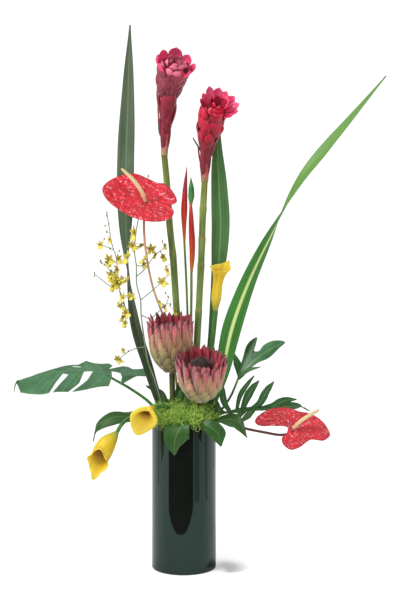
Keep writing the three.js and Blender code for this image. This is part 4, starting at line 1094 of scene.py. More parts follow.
def neck_scales(girth, heights, per_ring, length, spread, lift, seed):
    """Rings of sheaths whose roots are sunk in the trumpet and whose tips stand off it by
    lift; spread is width by radius."""
    chance = random.Random(seed)
    rows = []
    for n, height in enumerate(heights):
        radius = float(level(girth, height))
        for k in range(per_ring):
            turn = 360 * (k + 0.5 * (n % 2)) / per_ring + chance.uniform(-12, 12)
            long = length * chance.uniform(0.8, 1.2)
            tip = float(level(girth, min(1.0, height + long / HEAD_LENGTH)))
            tip += lift * chance.uniform(0.7, 1.3)
            tilt = math.degrees(math.atan2(tip - radius + SUNK, long))
            rows.append((turn, height, radius - SUNK, tilt, long,
                         spread * radius * chance.uniform(0.9, 1.1)))
    return rows


def ginger_head(side, axis, girth, layers, snag, neck):
    name = f"ginger_{side}_head"
    parts = [stem(name + "_neck", axis, girth, neck, 60, 28, 0.04),
             stem(name + "_stub", snag, [(0, 2), (1, 1)], STUB_BROWN, 10, 8)]
    for n, (shapes, finish, model) in enumerate(layers):
        roots, way, back, length, width = clothe(axis, shapes)
        parts.append(bracts(f"{name}_bracts_{n}", model.copy(), finish, roots, way, back, length,
                            width))
    settle(joined(name, parts), f"ginger_{side}_bloom")


ginger_head("left", LEFT_AXIS, LEFT_GIRTH,
    [(LEFT_OUTER, GINGER_SPOON, SPOON), (LEFT_INNER, GINGER_INNER, SPOON),
        (neck_scales(LEFT_GIRTH, (0.66, 0.72, 0.78, 0.84, 0.88), 5, 26, 1.6, 0.8, 3), GINGER_BAND,
            SHEATH),
        (neck_scales(LEFT_GIRTH, (0.05, 0.2, 0.34, 0.46), 3, 46, 1.7, 0.7, 4), GINGER_SHEATH,
            SHEATH)],
    [(-34, 17, 684), (-39, 17, 692), (-42, 17, 716)], LEFT_NECK)
ginger_head("right", RIGHT_AXIS, RIGHT_GIRTH,
    [(RIGHT_OUTER, GINGER_SPOON, SPOON), (RIGHT_INNER, GINGER_RED, SPOON),
        (neck_scales(RIGHT_GIRTH, (0.48, 0.58, 0.66, 0.74, 0.82), 5, 28, 1.45, 2.4, 5), GINGER_RED,
            SHEATH),
        (neck_scales(RIGHT_GIRTH, (0.05, 0.18, 0.3, 0.42), 3, 38, 1.6, 1.1, 6), GINGER_SHEATH,
            SHEATH)],
    [(31, 14, 658), (25, 14, 667), (14, 14, 685)], RIGHT_NECK)

# %% [markdown]
# ## Slender heliconias
#
# Each heliconia shows one closed, boat-shaped bract, red above and orange at its foot,
# drawn to a point. A flattened stem of changing radius gives the spindle, and a keel
# runs down its front. The right-hand one has a younger green bract growing out of it.

# %% Heliconias
SPINDLE_STEPS, SPINDLE_SIDES, FLATNESS = 40, 18, 0.7


def spindle(name, path, radius, finish):
    """A spindle in millimetres: flattened front to back, closed at both ends."""
    u, centre, _, side, face = track(path, SPINDLE_STEPS, RIGHT)
    size = level(radius, u, 0.05)
    angles = np.linspace(0, 2 * np.pi, SPINDLE_SIDES, endpoint=False)
    from_front = np.degrees(np.arctan2(np.sin(angles + np.pi / 2), np.cos(angles + np.pi / 2)))
    keel = 1 + 0.16 * np.exp(-((from_front / 28) ** 2))
    forward = (FLATNESS * np.sin(angles) * keel)[:, None]
    ring = side[:, None] * np.cos(angles)[:, None] + face[:, None] * forward
    ends = [tuple(range(SPINDLE_SIDES))[::-1],
            tuple(SPINDLE_STEPS * SPINDLE_SIDES + k for k in range(SPINDLE_SIDES))]
    across = np.tile(np.cos(angles), SPINDLE_STEPS + 1)
    mesh = new_mesh(name, centre[:, None] + ring * size[:, None, None], [],
                    tube_faces(SPINDLE_STEPS, SPINDLE_SIDES) + ends,
                    place=np.stack([across, np.repeat(u, SPINDLE_SIDES), 0 * across], axis=-1))
    return new_piece(name, mended(mesh, finish=finish))


def waxy_finish(name, stops, streak):
    """Colours along a bract, its own streaks, and a painted shade towards its right side, made from its
    streak colour darkened.
    """
    look, tree = new_finish(name, 0.32, Specular_IOR_Level=0.45)
    colour = ramp(tree, value_of(tree, "place", "Y"), stops)
    fibre = noise(tree, 300.0, 3.0, stretch=(1.0, 1.0, 0.08))
    colour = laid_on(tree, colour, fibre, 0.48, 0.7, 0.4, streak)
    # painted shade: the bract darkens towards its right side
    shadow = tuple(0.35 * c for c in linear(streak)[:3]) + (1,)
    colour = laid_on(tree, colour, value_of(tree, "place", "X"), 0.1, 0.9, 0.35, shadow)
    return dressed(look, colour, fibre, 0.0004, 0.5)


# node: name, path, radius along it, finish, its colours and its streaks
HELICONIAS = {
    "heliconia_left_bract": ("heliconia_left_boat",
        [(0, 36, 518), (-0.5, 36, 562), (1, 36, 603), (4, 36, 641)],
        [(0, 1.8), (0.2, 3.4), (0.42, 5.4), (0.65, 4.2), (0.85, 2.4), (1, 0.4)], "heliconia_red_left",
        [(0, (150, 150, 60)), (0.1, (222, 96, 30)), (0.36, (214, 66, 28)), (0.56, (176, 22, 36)),
            (1, (110, 20, 30))], (206, 56, 56)),
    "heliconia_right_bract": ("heliconia_right_boat",
        [(11.5, 32, 468), (13, 31, 505), (11.5, 30, 546), (10.5, 30, 579)],
        [(0, 2), (0.2, 4.2), (0.5, 5.2), (0.8, 4), (1, 2.2)], "heliconia_red_right",
        [(0, (180, 140, 50)), (0.12, (226, 112, 30)), (0.42, (214, 60, 30)), (0.7, (204, 38, 46)),
            (1, (190, 70, 50))], (232, 110, 70)),
    "heliconia_green_tip": ("heliconia_young_tip",
        [(10.5, 30, 579), (11.5, 30, 600), (10.5, 30, 624)],
        [(0, 2.4), (0.3, 5.2), (0.6, 4.6), (1, 0.4)], "heliconia_green",
        [(0, (150, 110, 50)), (0.1, (74, 134, 70)), (0.6, (34, 116, 56)), (1, (90, 120, 70))],
        (120, 180, 110))}
for node, (name, path, radius, finish, stops, streak) in HELICONIAS.items():
    settle(spindle(name, path, radius, waxy_finish(finish, stops, streak)), node)

# %% [markdown]
# ## Broad leaves and hearts
#
# A broad leaf is drawn flat first, as an outline. Blender's own triangulator fills it
# from a honeycomb of points, so the cells are nearly equal and the surface can bend and
# pucker anywhere. Each flat point is then placed on the leaf's curved surface and the
# sheet is given its thickness. The veins are drawn as lines on the flat outline: every
# point stores how near it is to one, and the finish raises and colours it there.

# %% Plates
def inside(points, outline):
    """Which points lie inside a closed outline."""
    x, y = np.asarray(points, float).T
    within = np.zeros(len(x), bool)
    for (x0, y0), (x1, y1) in zip(outline, np.roll(outline, -1, axis=0)):
        crosses = (y0 > y) != (y1 > y)
        within ^= crosses & (x < (x1 - x0) * (y - y0) / ((y1 - y0) or 1e-9) + x0)
    return within


def gap_to(points, lines):
    """Distance from each point to the nearest of some polylines."""
    best = np.full(len(points), 1e9)
    for line in lines:
        line = np.asarray(line, float)
        for a, b in zip(line, line[1:]):
            run = b - a
            t = np.clip(((points - a) @ run) / max(run @ run, 1e-9), 0, 1)
            best = np.minimum(best, np.linalg.norm(points - a - t[:, None] * run, axis=1))
    return best


def closed_loop(rim):
    return np.vstack([rim, rim[:1]])


def honeycomb(outline, cell):
    """Points in staggered rows over the box of an outline."""
    low, high = outline.min(0), outline.max(0)
    return np.array([(x + (n % 2) * cell / 2, y)
                     for n, y in enumerate(np.arange(low[1], high[1], cell * 0.87))
                     for x in np.arange(low[0], high[0], cell)])


def filled(outline, cell, opening):
    """Triangles that fill an outline round its opening, and the two rims as loops."""
    loop = closed_loop(outline)
    round_it = np.sum(np.linalg.norm(np.diff(loop, axis=0), axis=1))
    outline = even_steps(loop, max(8, int(round_it / cell)))[:-1]
    rims = [outline] + ([np.array(opening, float)] if opening else [])

    def within(points):
        found = inside(points, outline)
        return found & ~inside(points, rims[1]) if opening else found

    loops = [closed_loop(r) for r in rims]
    grid = honeycomb(outline, cell)
    grid = grid[within(grid)]
    grid = grid[gap_to(grid, loops) > cell * 0.45]
    edges, start = [], 0
    for rim in rims:
        edges += [(start + k, start + (k + 1) % len(rim)) for k in range(len(rim))]
        start += len(rim)
    spots = [Vector(p) for p in np.vstack([*rims, grid]).tolist()]
    spots, _, faces, *_ = delaunay_2d_cdt(spots, edges, [], 1, 1e-5)
    flat = np.array([tuple(p) for p in spots])
    keep = within(np.array([flat[list(f)].mean(0) for f in faces]))
    return flat, [tuple(f) for f, good in zip(faces, keep) if good], loops


def plate(name, outline, cell, surface, thick, finish, opening=None, veins=(), vein_width=1.2,
          relief=0.0):
    """A broad leaf: a flat outline in millimetres laid on a surface(x, y) of points."""
    flat, faces, loops = filled(outline, cell, opening)
    vein = np.exp(-((gap_to(flat, veins) / vein_width) ** 2))
    tiny = 0.05
    here = surface(flat[:, 0], flat[:, 1])
    normal = unit(np.cross(surface(flat[:, 0] + tiny, flat[:, 1]) - here,
                           surface(flat[:, 0], flat[:, 1] + tiny) - here))
    here = here + normal * (relief * vein)[:, None]
    rim_gap = gap_to(flat, loops)
    half = normal * thick * (0.45 + 0.55 * np.minimum(1, rim_gap / (2 * cell)))[:, None] / 2
    count = len(flat)
    borders = dict.fromkeys((a, b) for f in faces for a, b in zip(f, f[1:] + f[:1]))
    walls = [(b, a, count + a, count + b) for a, b in borders if (b, a) not in borders]
    mesh = new_mesh(name, [here + half, here - half], [],
                    faces + [tuple(count + k for k in f[::-1]) for f in faces] + walls,
                    place=np.tile(np.column_stack([flat, vein]), (2, 1)),
                    under=np.repeat([0.0, 1.0], count), rim=np.tile(rim_gap, 2))
    return new_piece(name, mended(mesh, finish=finish))


def along_outline(corners):
    """A smooth closed outline through measured corners."""
    corners = np.array(corners, float)
    return curve_through(np.column_stack([corners, np.zeros(len(corners))]), closed=True)[:-1, :2]


# %% [markdown]
# An anthurium's red heart is a spathe: a thick waxy leaf that is puckered between its
# veins like a quilt, and so glossy that each pucker catches the light. The puckers are
# real relief. A clear coat over a red body gives the gloss.

# %% Anthuriums
def spathe_finish():
    look, tree = new_finish("spathe_red", 0.3, Coat_Weight=0.9, Coat_Roughness=0.1,
                                           Coat_IOR=1.65, Specular_IOR_Level=0.2)
    reds = [(0.25, (170, 2, 26)), (0.5, (204, 4, 36)), (0.8, (220, 16, 52))]
    colour = ramp(tree, noise(tree, 70.0, 4.0), reds)
    # painted shade in the creases: the spathe is darker along its sunken veins
    colour = mixed(tree, times(tree, value_of(tree, "place", "Z"), 0.4), colour, (150, 2, 20))
    colour = mixed(tree, band(tree, value_of(tree, "rim"), 0.3, 2.4, 0.7, 0.0), colour, (150, 8, 30))
    colour = mixed(tree, value_of(tree, "under"), colour, (186, 66, 76))
    quilt = times(tree, cells(tree, 130.0, feature="SMOOTH_F1"), -1.0)
    height = plus(tree, quilt, times(tree, noise(tree, 420.0, 2.0), 0.3))
    feed(tree, "Coat Normal", bump(tree, height, 0.004))
    return dressed(look, colour, height, 0.004)


SPATHE_RED = spathe_finish()
TOP_HEART = along_outline([(-129, 602), (-110, 621), (-80, 628), (-56, 618), (-44, 612), (-30, 609),
        (-14, 590), (-11, 577), (-20, 571), (-15, 561), (-20, 549), (-46, 544), (-72, 549),
        (-100, 564), (-122, 583)])
SIDE_HEART = along_outline([(112, -18), (122, -5), (140, 3), (160, 5), (186, -3), (212, -10),
        (224, -25), (228, -37), (219, -45), (197, -47), (178, -57), (165, -61), (153, -54),
        (152, -44), (161, -35), (162, -28), (150, -25), (124, -25)])


def pucker(x, y, away):
    """Cushions 6.5 mm apart and 1.3 high, flatter near the leaf's root."""
    return 1.3 * np.sin(x / 6.5) * np.sin(y / 6.5) * np.minimum(1, away / 900)


def top_surface(x, z):
    away = (x + 60) ** 2 + (z - 579) ** 2
    return np.stack([x, -18 + 0.9 * (z - 583) - 0.0016 * away + pucker(x, z, away), z], axis=-1)


def side_surface(x, y):
    away = (x - 171) ** 2 + (y + 31) ** 2
    return np.stack([x, y, 222 + 0.88 * (y + 31) + pucker(x, y, away) - 0.0006 * away], axis=-1)


def fan(root, tips):
    """Veins from one root to several tips, each bowed a little."""
    root = np.array(root, float)
    t = np.linspace(0, 1, 10)[:, None]
    lines = []
    for k, tip in enumerate(tips):
        run = np.array(tip, float) - root
        cross = np.array([-run[1], run[0]]) * 0.12 * (1 if k % 2 else -1)
        lines.append(root + run * t + cross * (4 * t * (1 - t)))
    return lines


TOP_VEINS = fan((-60, 579),
    [(-126, 600), (-106, 616), (-80, 624), (-52, 614), (-20, 598), (-16, 578), (-22, 553), (-46, 547),
        (-72, 552), (-100, 567), (-120, 586)])
SIDE_VEINS = fan((171, -31),
    [(116, -16), (124, -7), (142, 0), (162, 2), (186, -6), (210, -13), (222, -26), (224, -38),
        (200, -44), (180, -54), (165, -57), (156, -50)])
for side, heart, surface, veins in (("top", TOP_HEART, top_surface, TOP_VEINS),
                                    ("side", SIDE_HEART, side_surface, SIDE_VEINS)):
    spathe = plate(f"anthurium_{side}_heart", heart, 1.6, surface, 1.0, SPATHE_RED, veins=veins,
                   vein_width=1.3, relief=-0.5)
    settle(spathe, f"anthurium_{side}_spathe")


def spadix_finish():
    look, tree = new_finish("spadix_cream", 0.55, Specular_IOR_Level=0.3)
    grains = cells(tree, 900.0)
    creams = [(0.0, (226, 200, 150)), (0.5, (238, 218, 168)), (1.0, (214, 196, 150))]
    colour = ramp(tree, value_of(tree, "place", "Y"), creams)
    colour = laid_on(tree, colour, grains, 0.25, 0.7, 0.5, (186, 150, 104))
    return dressed(look, colour, grains, -0.0005, 0.8)


SPADIX_CREAM = spadix_finish()
CANDLES = {
    "top": (
        [(-60, -24.7, 578.3), (-65, -34, 592), (-78, -42, 610), (-96, -46, 627)],
        [(0, 2.2), (0.15, 3.3), (0.7, 3), (0.95, 2.2), (1, 1.2)]),
    "side": (
        [(171, -32.5, 223.9), (183, -40, 237), (196, -42, 246), (210, -42, 254)],
        [(0, 2.2), (0.15, 3.2), (0.7, 2.9), (0.95, 2.1), (1, 1.1)])}
for side, (path, radius) in CANDLES.items():
    settle(stem(f"anthurium_{side}_candle", path, radius, SPADIX_CREAM, 40, 18, 0.04),
           f"anthurium_{side}_spadix")

# %% [markdown]
# ## Proteas
#
# A protea is a goblet of overlapping bracts: short, broad, olive scales with dark edges
# on its foot, then longer ones that turn pink and end in downy maroon tips. Inside it
# stands a dome of dark woolly florets. A smooth inner cup carries the bracts, which are
# copied in rings with the head tree, each ring half a step round from the one below.

# %% Protea finishes
def downy_finish(name, stops, edge, edgewidth=0.6, down=0.0, tint=0.35):
    """Bract colours along it, an edge colour, and pale down near the tip."""
    look, tree = new_finish(name, 0.7, Specular_IOR_Level=0.2, Sheen_Weight=0.35,
                                           Sheen_Roughness=0.5)
    across, length = value_of(tree, "place", "X"), value_of(tree, "place", "Y")
    colour = ramp(tree, length, stops)
    fibre = lines_along(tree, 7.0, 1.5, tint=50.0)
    colour = laid_on(tree, colour, fibre, 0.45, 0.75, 0.4, (206, 176, 150))
    if down:
        tufts = band(tree, noise(tree, 500.0, 4.0), 0.4, 0.7, 0.2, 1.0)
        wool = times(tree, band(tree, length, 0.35, 0.85, 0.0, down), tufts)
        colour = mixed(tree, wool, colour, (224, 200, 200))
    rim = band(tree, math_node(tree, "ABSOLUTE", across), edgewidth, 0.95, 0.0, 0.95)
    colour = under_mix(tree, 0.4, mixed(tree, rim, colour, edge), (150, 22, 50))
    return dressed(look, varied(tree, colour, tint), fibre, 0.0006, 0.6)


SCALE_OLIVE = downy_finish("protea_scale_olive",
    [(0.0, (84, 80, 46)), (0.5, (150, 140, 84)), (0.8, (164, 134, 88)), (1.0, (96, 54, 38))],
    (64, 38, 26), 0.4)
SCALE_TAN = downy_finish("protea_scale_tan",
    [(0.0, (110, 84, 54)), (0.5, (170, 126, 90)), (0.8, (178, 100, 90)), (1.0, (120, 36, 44))],
    (80, 36, 32), 0.38, down=0.15)
BRACT_PINK = downy_finish("protea_bract_pink",
    [(0.0, (126, 100, 60)), (0.32, (158, 104, 74)), (0.62, (174, 68, 80)), (0.82, (170, 30, 58)),
        (1.0, (120, 8, 32))], (84, 20, 34), 0.38, down=0.3, tint=0.6)
BRACT_INNER = downy_finish("protea_bract_inner",
    [(0.0, (110, 34, 48)), (0.5, (176, 40, 66)), (0.85, (206, 32, 66)), (1.0, (150, 12, 40))],
    (110, 14, 38), 0.6, down=0.15, tint=0.6)
DOME_DARK = downy_finish("protea_dome_dark",
    [(0.0, (120, 96, 92)), (0.4, (80, 52, 58)), (1.0, (38, 20, 28))], (60, 34, 42), 0.7, tint=0.6)


def square_to(along):
    """Two directions square to a third, the first as near the right as it goes."""
    side = unit(RIGHT - (RIGHT @ along) * along)
    return side, np.cross(along, side)


def circled(along, angles):
    """Directions away from an axis, at angles in radians round it."""
    side, face = square_to(along)
    return side * np.cos(angles)[:, None] + face * np.sin(angles)[:, None]


def turned(name, profile, sides, finish, base=(0, 0, 0), along=UP):
    """A body turned about an axis from (radius, height) pairs in millimetres."""
    radius, height = np.array(profile, float).T
    angle = np.linspace(0, 2 * np.pi, sides, endpoint=False)
    points = (np.asarray(base, float) + height[:, None, None] * along
              + radius[:, None, None] * circled(along, angle))
    share = np.repeat((height - height.min()) / max(np.ptp(height), 1e-9), sides)
    place = np.stack([np.tile(np.cos(angle), len(profile)), share, 0 * share], axis=-1)
    mesh = new_mesh(name, points, [], tube_faces(len(profile) - 1, sides), place=place)
    mended(mesh, merge=1e-7, close=bmesh.ops.holes_fill)
    mesh.shade_smooth()
    mesh.set_sharp_from_angle(angle=math.radians(50))
    if finish:
        mesh.materials.append(finish)
    return new_piece(name, mesh)


# %% Protea heads
SCALE = bract_mesh("scale", [(0, 0.7), (0.35, 1.0), (0.6, 0.94), (0.85, 0.5), (1, 0.0)],
                   cup=0.2, curl=-0.03, thick=0.09, cells=(6, 8), keel=0.05)
LONG_BRACT = bract_mesh("long_bract",
    [(0, 0.6), (0.3, 0.86), (0.65, 1.0), (0.85, 0.76), (0.95, 0.4), (1, 0.0)], cup=0.22, curl=-0.3,
    thick=0.14, cells=(6, 14), tip_roll=0.7, keel=0.06)
FLORET_TIP = bract_mesh("floret_tip", [(0, 0.6), (0.6, 1.0), (0.85, 0.8), (1, 0.0)],
                        cup=0.3, curl=0.3, thick=0.4, cells=(2, 4))
USUAL_LENGTH, USUAL_RADIUS = 97, 34  # of a head, in millimetres; the rings are drawn for it


def on_goblet(base, along, length, girth, heights, turns, sink=0.0):
    """Roots, directions and outward faces of bracts that follow a goblet's wall."""
    outward = circled(along, np.radians(turns))
    radius = level(girth, heights)
    step = np.minimum(0.16, 1.05 - heights)
    slope = ((level(girth, heights + step) - radius) / (step * length))[:, None]
    roots = base + along * (heights * length)[:, None] + outward * (radius - sink)[:, None]
    return roots, unit(along + outward * slope), unit(outward - along * slope)


def axis_of(base, top):
    base, top = np.array(base, float), np.array(top, float)
    length = np.linalg.norm(top - base)
    return base, length, (top - base) / length


# height, count, length, width, finish, model, lean outwards and how deep its root lies
RINGS = [(0.04, 8, 17, 13, SCALE_OLIVE, SCALE, 0.0, 0.4),
    (0.10, 9, 20, 17, SCALE_OLIVE, SCALE, 0.0, 0.4), (0.17, 10, 23, 20, SCALE_OLIVE, SCALE, 0.0, 0.4),
    (0.25, 11, 26, 21, SCALE_OLIVE, SCALE, 0.0, 0.4), (0.33, 12, 31, 20, SCALE_TAN, SCALE, 0.0, 0.4),
    (0.41, 13, 38, 16, SCALE_TAN, LONG_BRACT, 0.0, 0.0),
    (0.48, 14, 46, 12.5, BRACT_PINK, LONG_BRACT, 0.05, 0.0),
    (0.46, 15, 56, 11, BRACT_PINK, LONG_BRACT, 0.0, 1.6),
    (0.5, 15, 50, 10, BRACT_INNER, LONG_BRACT, -0.03, 4.0)]


def protea_head(name, base, top, girth, seed, front_cut=0.0):
    """A goblet of bracts; front_cut shortens the front ones, so the dome shows."""
    base, length, along = axis_of(base, top)
    chance = np.random.default_rng(seed)
    wall = [(max(level(girth, h) - 2.2, 1.0), h * length)
            for h in (-0.02, 0.02, 0.06, 0.14, 0.23, 0.32, 0.42, 0.6, 0.8)]
    wall += [(level(girth, at) - inset, h * length)
             for at, inset, h in ((0.8, 3.6, 0.8), (0.7, 5, 0.6), (0.6, 7, 0.55))]
    parts = [turned(name + "_cup", wall, 40, SCALE_TAN, base, along)]
    for n, (height, count, long, wide, finish, model, lean, sink) in enumerate(RINGS):
        turns = 360 * (np.arange(count) + 0.5 * (n % 2)) / count + chance.uniform(-3, 3, count)
        heights = np.clip(height + chance.uniform(-0.008, 0.008, count), 0.01, 1)
        roots, way, back = on_goblet(base, along, length, girth, heights, turns, sink)
        way = unit(way + back * lean)
        lengths = long * length / USUAL_LENGTH * chance.uniform(0.9, 1.08, count)
        if finish in (BRACT_PINK, BRACT_INNER):
            to_front = np.maximum(0, -unit(back * [1, 1, 0])[:, 1])
            lengths *= chance.uniform(0.84, 1.0, count) * (1 - front_cut * to_front)
        widths = wide * level(girth, 0.8) / USUAL_RADIUS * chance.uniform(0.92, 1.06, count)
        parts.append(bracts(f"{name}_ring_{n}", model.copy(), finish, roots, way, back,
                            np.minimum(lengths, (1.0 - heights) * length), widths,
                            tint=chance.random(count)))
    return joined(name, parts)


LEFT_GOBLET = [(0, 4.8), (0.06, 10), (0.14, 17), (0.23, 23), (0.32, 27), (0.42, 29.5), (0.76, 33),
    (1, 35)]
RIGHT_GOBLET = [(0, 4.8), (0.06, 10), (0.14, 17), (0.23, 23), (0.32, 27), (0.42, 30), (0.76, 36),
    (1, 38)]
LEFT_BASE, LEFT_TOP = (-19, -10, 307), (-22, -16, 404)
RIGHT_BASE, RIGHT_TOP = (26, -32, 266), (27.8, -62.6, 341.6)
settle(protea_head("protea_left_head", LEFT_BASE, LEFT_TOP, LEFT_GOBLET, 5, 0.24),
    "protea_left_bloom")
settle(protea_head("protea_right_head", RIGHT_BASE, RIGHT_TOP, RIGHT_GOBLET, 9), "protea_right_bloom")

DOME_RADIUS = 19.5
FLORETS = 620
GOLDEN_TURN = 2.399963  # radians; it spreads florets evenly, as on a sunflower


def protea_dome(name, base, top, height, seed):
    """A woolly dome: a solid core and many florets that lean to its crown."""
    base, length, along = axis_of(base, top)
    foot = base + along * (0.58 * length + 0.35)
    core = [(0.0, 0.0)] + [(r, h * height) for r, h in (
        (DOME_RADIUS, 0), (19.2, 0.3), (16.4, 0.55), (12, 0.75), (7, 0.9), (0.2, 0.97))]
    parts = [turned(name + "_core", core, 32, DOME_DARK, foot, along)]
    n = np.arange(FLORETS)
    radius = DOME_RADIUS * np.sqrt((n + 0.5) / FLORETS)
    rise = height * np.sqrt(np.maximum(0, 1 - (radius / 20.5) ** 2)) * 0.93
    outward = circled(along, n * GOLDEN_TURN)
    roots = foot + outward * radius[:, None] + along * np.maximum(rise - 3.5, 0)[:, None]
    lean = (radius / DOME_RADIUS * 0.55)[:, None]
    chance = np.random.default_rng(seed)
    parts.append(bracts(name + "_florets", FLORET_TIP.copy(), DOME_DARK, roots,
                        unit(along + outward * lean), unit(outward - along * lean),
                        6.0 * chance.uniform(0.8, 1.15, FLORETS), 1.9, tint=chance.random(FLORETS)))
    return joined(name, parts)


settle(protea_dome("protea_left_florets", LEFT_BASE, LEFT_TOP, 24, 31), "protea_left_dome")
settle(protea_dome("protea_right_florets", RIGHT_BASE, RIGHT_TOP, 26, 32), "protea_right_dome")

# %% [markdown]
# ## Yellow callas
#
# A calla is one leaf rolled into a trumpet round a small spadix. Its mouth flares, its
# rim turns over a little, and it runs out to one point, here the side called the lip.
# The surface is a grid of angle and length round a bent axis, so the seam, the rolled
# rim and the lip are three formulas.

# %% Callas
def calla_finish():
    look, tree = new_finish("calla_yellow", 0.42, Specular_IOR_Level=0.35,
                                           Subsurface_Weight=0.12, Subsurface_Scale=0.003)
    yellows = [(0.0, (128, 152, 62)), (0.16, (190, 176, 52)), (0.36, (216, 188, 38)),
               (0.85, (222, 186, 36)), (1.0, (236, 210, 70))]
    colour = ramp(tree, value_of(tree, "place", "Y"), yellows)
    lines = lines_along(tree, 26.0, 2.2)
    colour = laid_on(tree, colour, lines, 0.5, 0.75, 0.45, (182, 132, 28))
    patches = band(tree, noise(tree, 60.0, 4.0), 0.55, 0.75, 0.0, 0.3)
    colour = mixed(tree, patches, colour, (214, 176, 66))
    # painted shade in the throat, where place Z marks it
    colour = mixed(tree, times(tree, value_of(tree, "place", "Z"), 0.7), colour, (124, 66, 36))
    return dressed(look, colour, lines, 0.0006, 0.6)


CALLA_YELLOW = calla_finish()
CALLA_CANDLE = stem_finish("calla_spadix", (196, 150, 40), (226, 190, 70), (230, 200, 90), gloss=0.6,
    grain=700.0)
CALLA_SIDES, CALLA_RINGS = 96, 44


def values_in(mesh, name, field, width=1):
    """A copy of a label's values, as rows."""
    rows = np.zeros(len(mesh.vertices) * width, np.float32)
    mesh.attributes[name].data.foreach_get(field, rows)
    return rows.reshape(-1, width) if width > 1 else rows


def calla(side, path, girth, lip, reach, roll=0.3, ruffle=0.06, seam=1.2, squash=0.0, broad=1.5,
          droop=0.0):
    """A rolled trumpet round a bent axis. reach is how far the short side, the lip and
    its point run on past the last ring, and how deep the short side is notched; squash
    flattens the throat towards the lip, and droop lets the lip hang."""
    name = f"calla_{side}_trumpet"
    u, centre, along, side_way, face = track(path, CALLA_RINGS - 1, lip)
    s, angle = np.meshgrid(u, np.linspace(-np.pi, np.pi, CALLA_SIDES, endpoint=False), indexing="ij")
    lipward, last = np.cos(angle), np.maximum(0, s - 0.8) / 0.2
    to_lip, to_back = np.maximum(0, lipward), np.maximum(0, -lipward)
    radius = level(girth, s, 0.05) + seam * s * angle / np.pi - 0.5
    radius *= 1 + ruffle * s**6 * (np.sin(4 * angle + 1.0) + 0.5 * np.sin(7 * angle))
    mouth = girth[-1][1]
    radius += roll * mouth * last**2 * 0.6
    short, long, point, notch = reach
    ahead = (short + (long - short) * ((1 + lipward) / 2) ** broad
             + point * to_lip**20 - notch * to_back**6) * s**3
    ahead -= roll * mouth * last**3 * (1 - 0.6 * to_lip**8)
    flat = 1 - squash * np.sin(np.pi * np.clip(s, 0, 0.95)) ** 2
    sideways = radius * flat * lipward + droop * to_lip**1.5 * last
    middle = (centre[:, None] + along[:, None] * ahead[..., None]
              + side_way[:, None] * sideways[..., None]
              + face[:, None] * (radius * np.sin(angle))[..., None])
    place = np.stack([lipward, s, 0 * s], axis=-1)
    mesh = sheet_mesh(name, middle, 0.9 - 0.5 * s**3, place, wrapped=True)
    mesh.materials.append(CALLA_YELLOW)
    # painted shade: the throat is darkened on the face that looks at the axis
    places, under = values_in(mesh, "place", "vector", 3), values_in(mesh, "under", "value")
    points = np.array([v.co for v in mesh.vertices]) / MM
    away = np.linalg.norm(points[:, None] - centre[None], axis=2).min(axis=1)
    inner = under if away[under > 0.5].mean() < away[under < 0.5].mean() else 1 - under
    places[:, 2] = inner * np.clip((0.84 - places[:, 1]) / 0.2, 0, 1)
    mesh.attributes["place"].data.foreach_set("vector", places.ravel())
    candle_path = centre[int(CALLA_RINGS * 0.3):int(CALLA_RINGS * 0.68):4]
    candle = stem(name + "_spadix", candle_path, [(0, 2.4), (0.7, 2.2), (1, 0.8)], CALLA_CANDLE, 16, 12)
    settle(joined(name, [new_piece(name + "_trumpet", mesh), candle]), f"calla_{side}_bloom")


calla("upright",
    [(50, 12, 406), (52, 11, 428), (55, 9, 452), (60.5, 6, 478)],
    [(0, 3.3), (0.1, 5.2), (0.24, 7.8), (0.42, 8.2), (0.58, 7.6), (0.72, 8.6), (0.86, 11.5), (1, 15)],
    (0.6, 0.8, 0), (-4, 8, 4, 2), roll=0.16, ruffle=0.18, seam=2.4)
calla("front", [(-44, -49, 257), (-51, -58, 257.5), (-56, -69, 255), (-59.5, -77, 246)],
      [(0, 3.3), (0.2, 5.4), (0.5, 7.6), (0.75, 9.5), (0.9, 13.5), (1, 17.5)],
      (-0.4, -0.3, -1), (-3, 13, 0, 0), roll=0.36, ruffle=0.03, squash=0.5, broad=0.6, droop=17)
calla("drooping",
    [(-103, -42, 219), (-110, -44, 211), (-118, -46, 202), (-126, -49, 189), (-132.5, -52, 175)],
    [(0, 3.3), (0.18, 9), (0.4, 14), (0.62, 15.5), (0.82, 14.5), (1, 15.5)], (0.15, 0.9, -0.2),
    (-8, 22, 7, 10), roll=0.16, ruffle=0.15, seam=2.2)

# %% [markdown]
# ## The split leaf and the philodendrons
#
# The big leaf on the left is cut by its own slits and has one hole beside its midrib.
# The two on the right are deeply lobed. The split leaf and the upper philodendron's
# blade are plates on bent surfaces; the other philodendron lobes are made with the blade
# tree. Their veins are the lines from which the leaf tissue springs, so they run into every lobe.

# %% Split leaf
def broad_finish(name, deep, light, vein_colour, under, gloss=0.42):
    look, tree = new_finish(name, gloss, Specular_IOR_Level=0.4)
    patch, fine = noise(tree, 34.0, 5.0), noise(tree, 240.0)
    tone = times_plus(tree, patch, 0.7, times(tree, fine, 0.3))
    colour = ramp(tree, tone, [(0.34, deep), (0.66, light)])
    colour = mixed(tree, times(tree, value_of(tree, "place", "Z"), 0.45), colour, vein_colour)
    colour = mixed(tree, band(tree, value_of(tree, "rim"), 0.2, 1.6, 0.5, 0.0), colour, vein_colour)
    colour = mixed(tree, value_of(tree, "under"), colour, under)
    height = plus(tree, times(tree, fine, 0.4), times(tree, patch, 0.8))
    return dressed(look, colour, height, 0.001, 0.5)


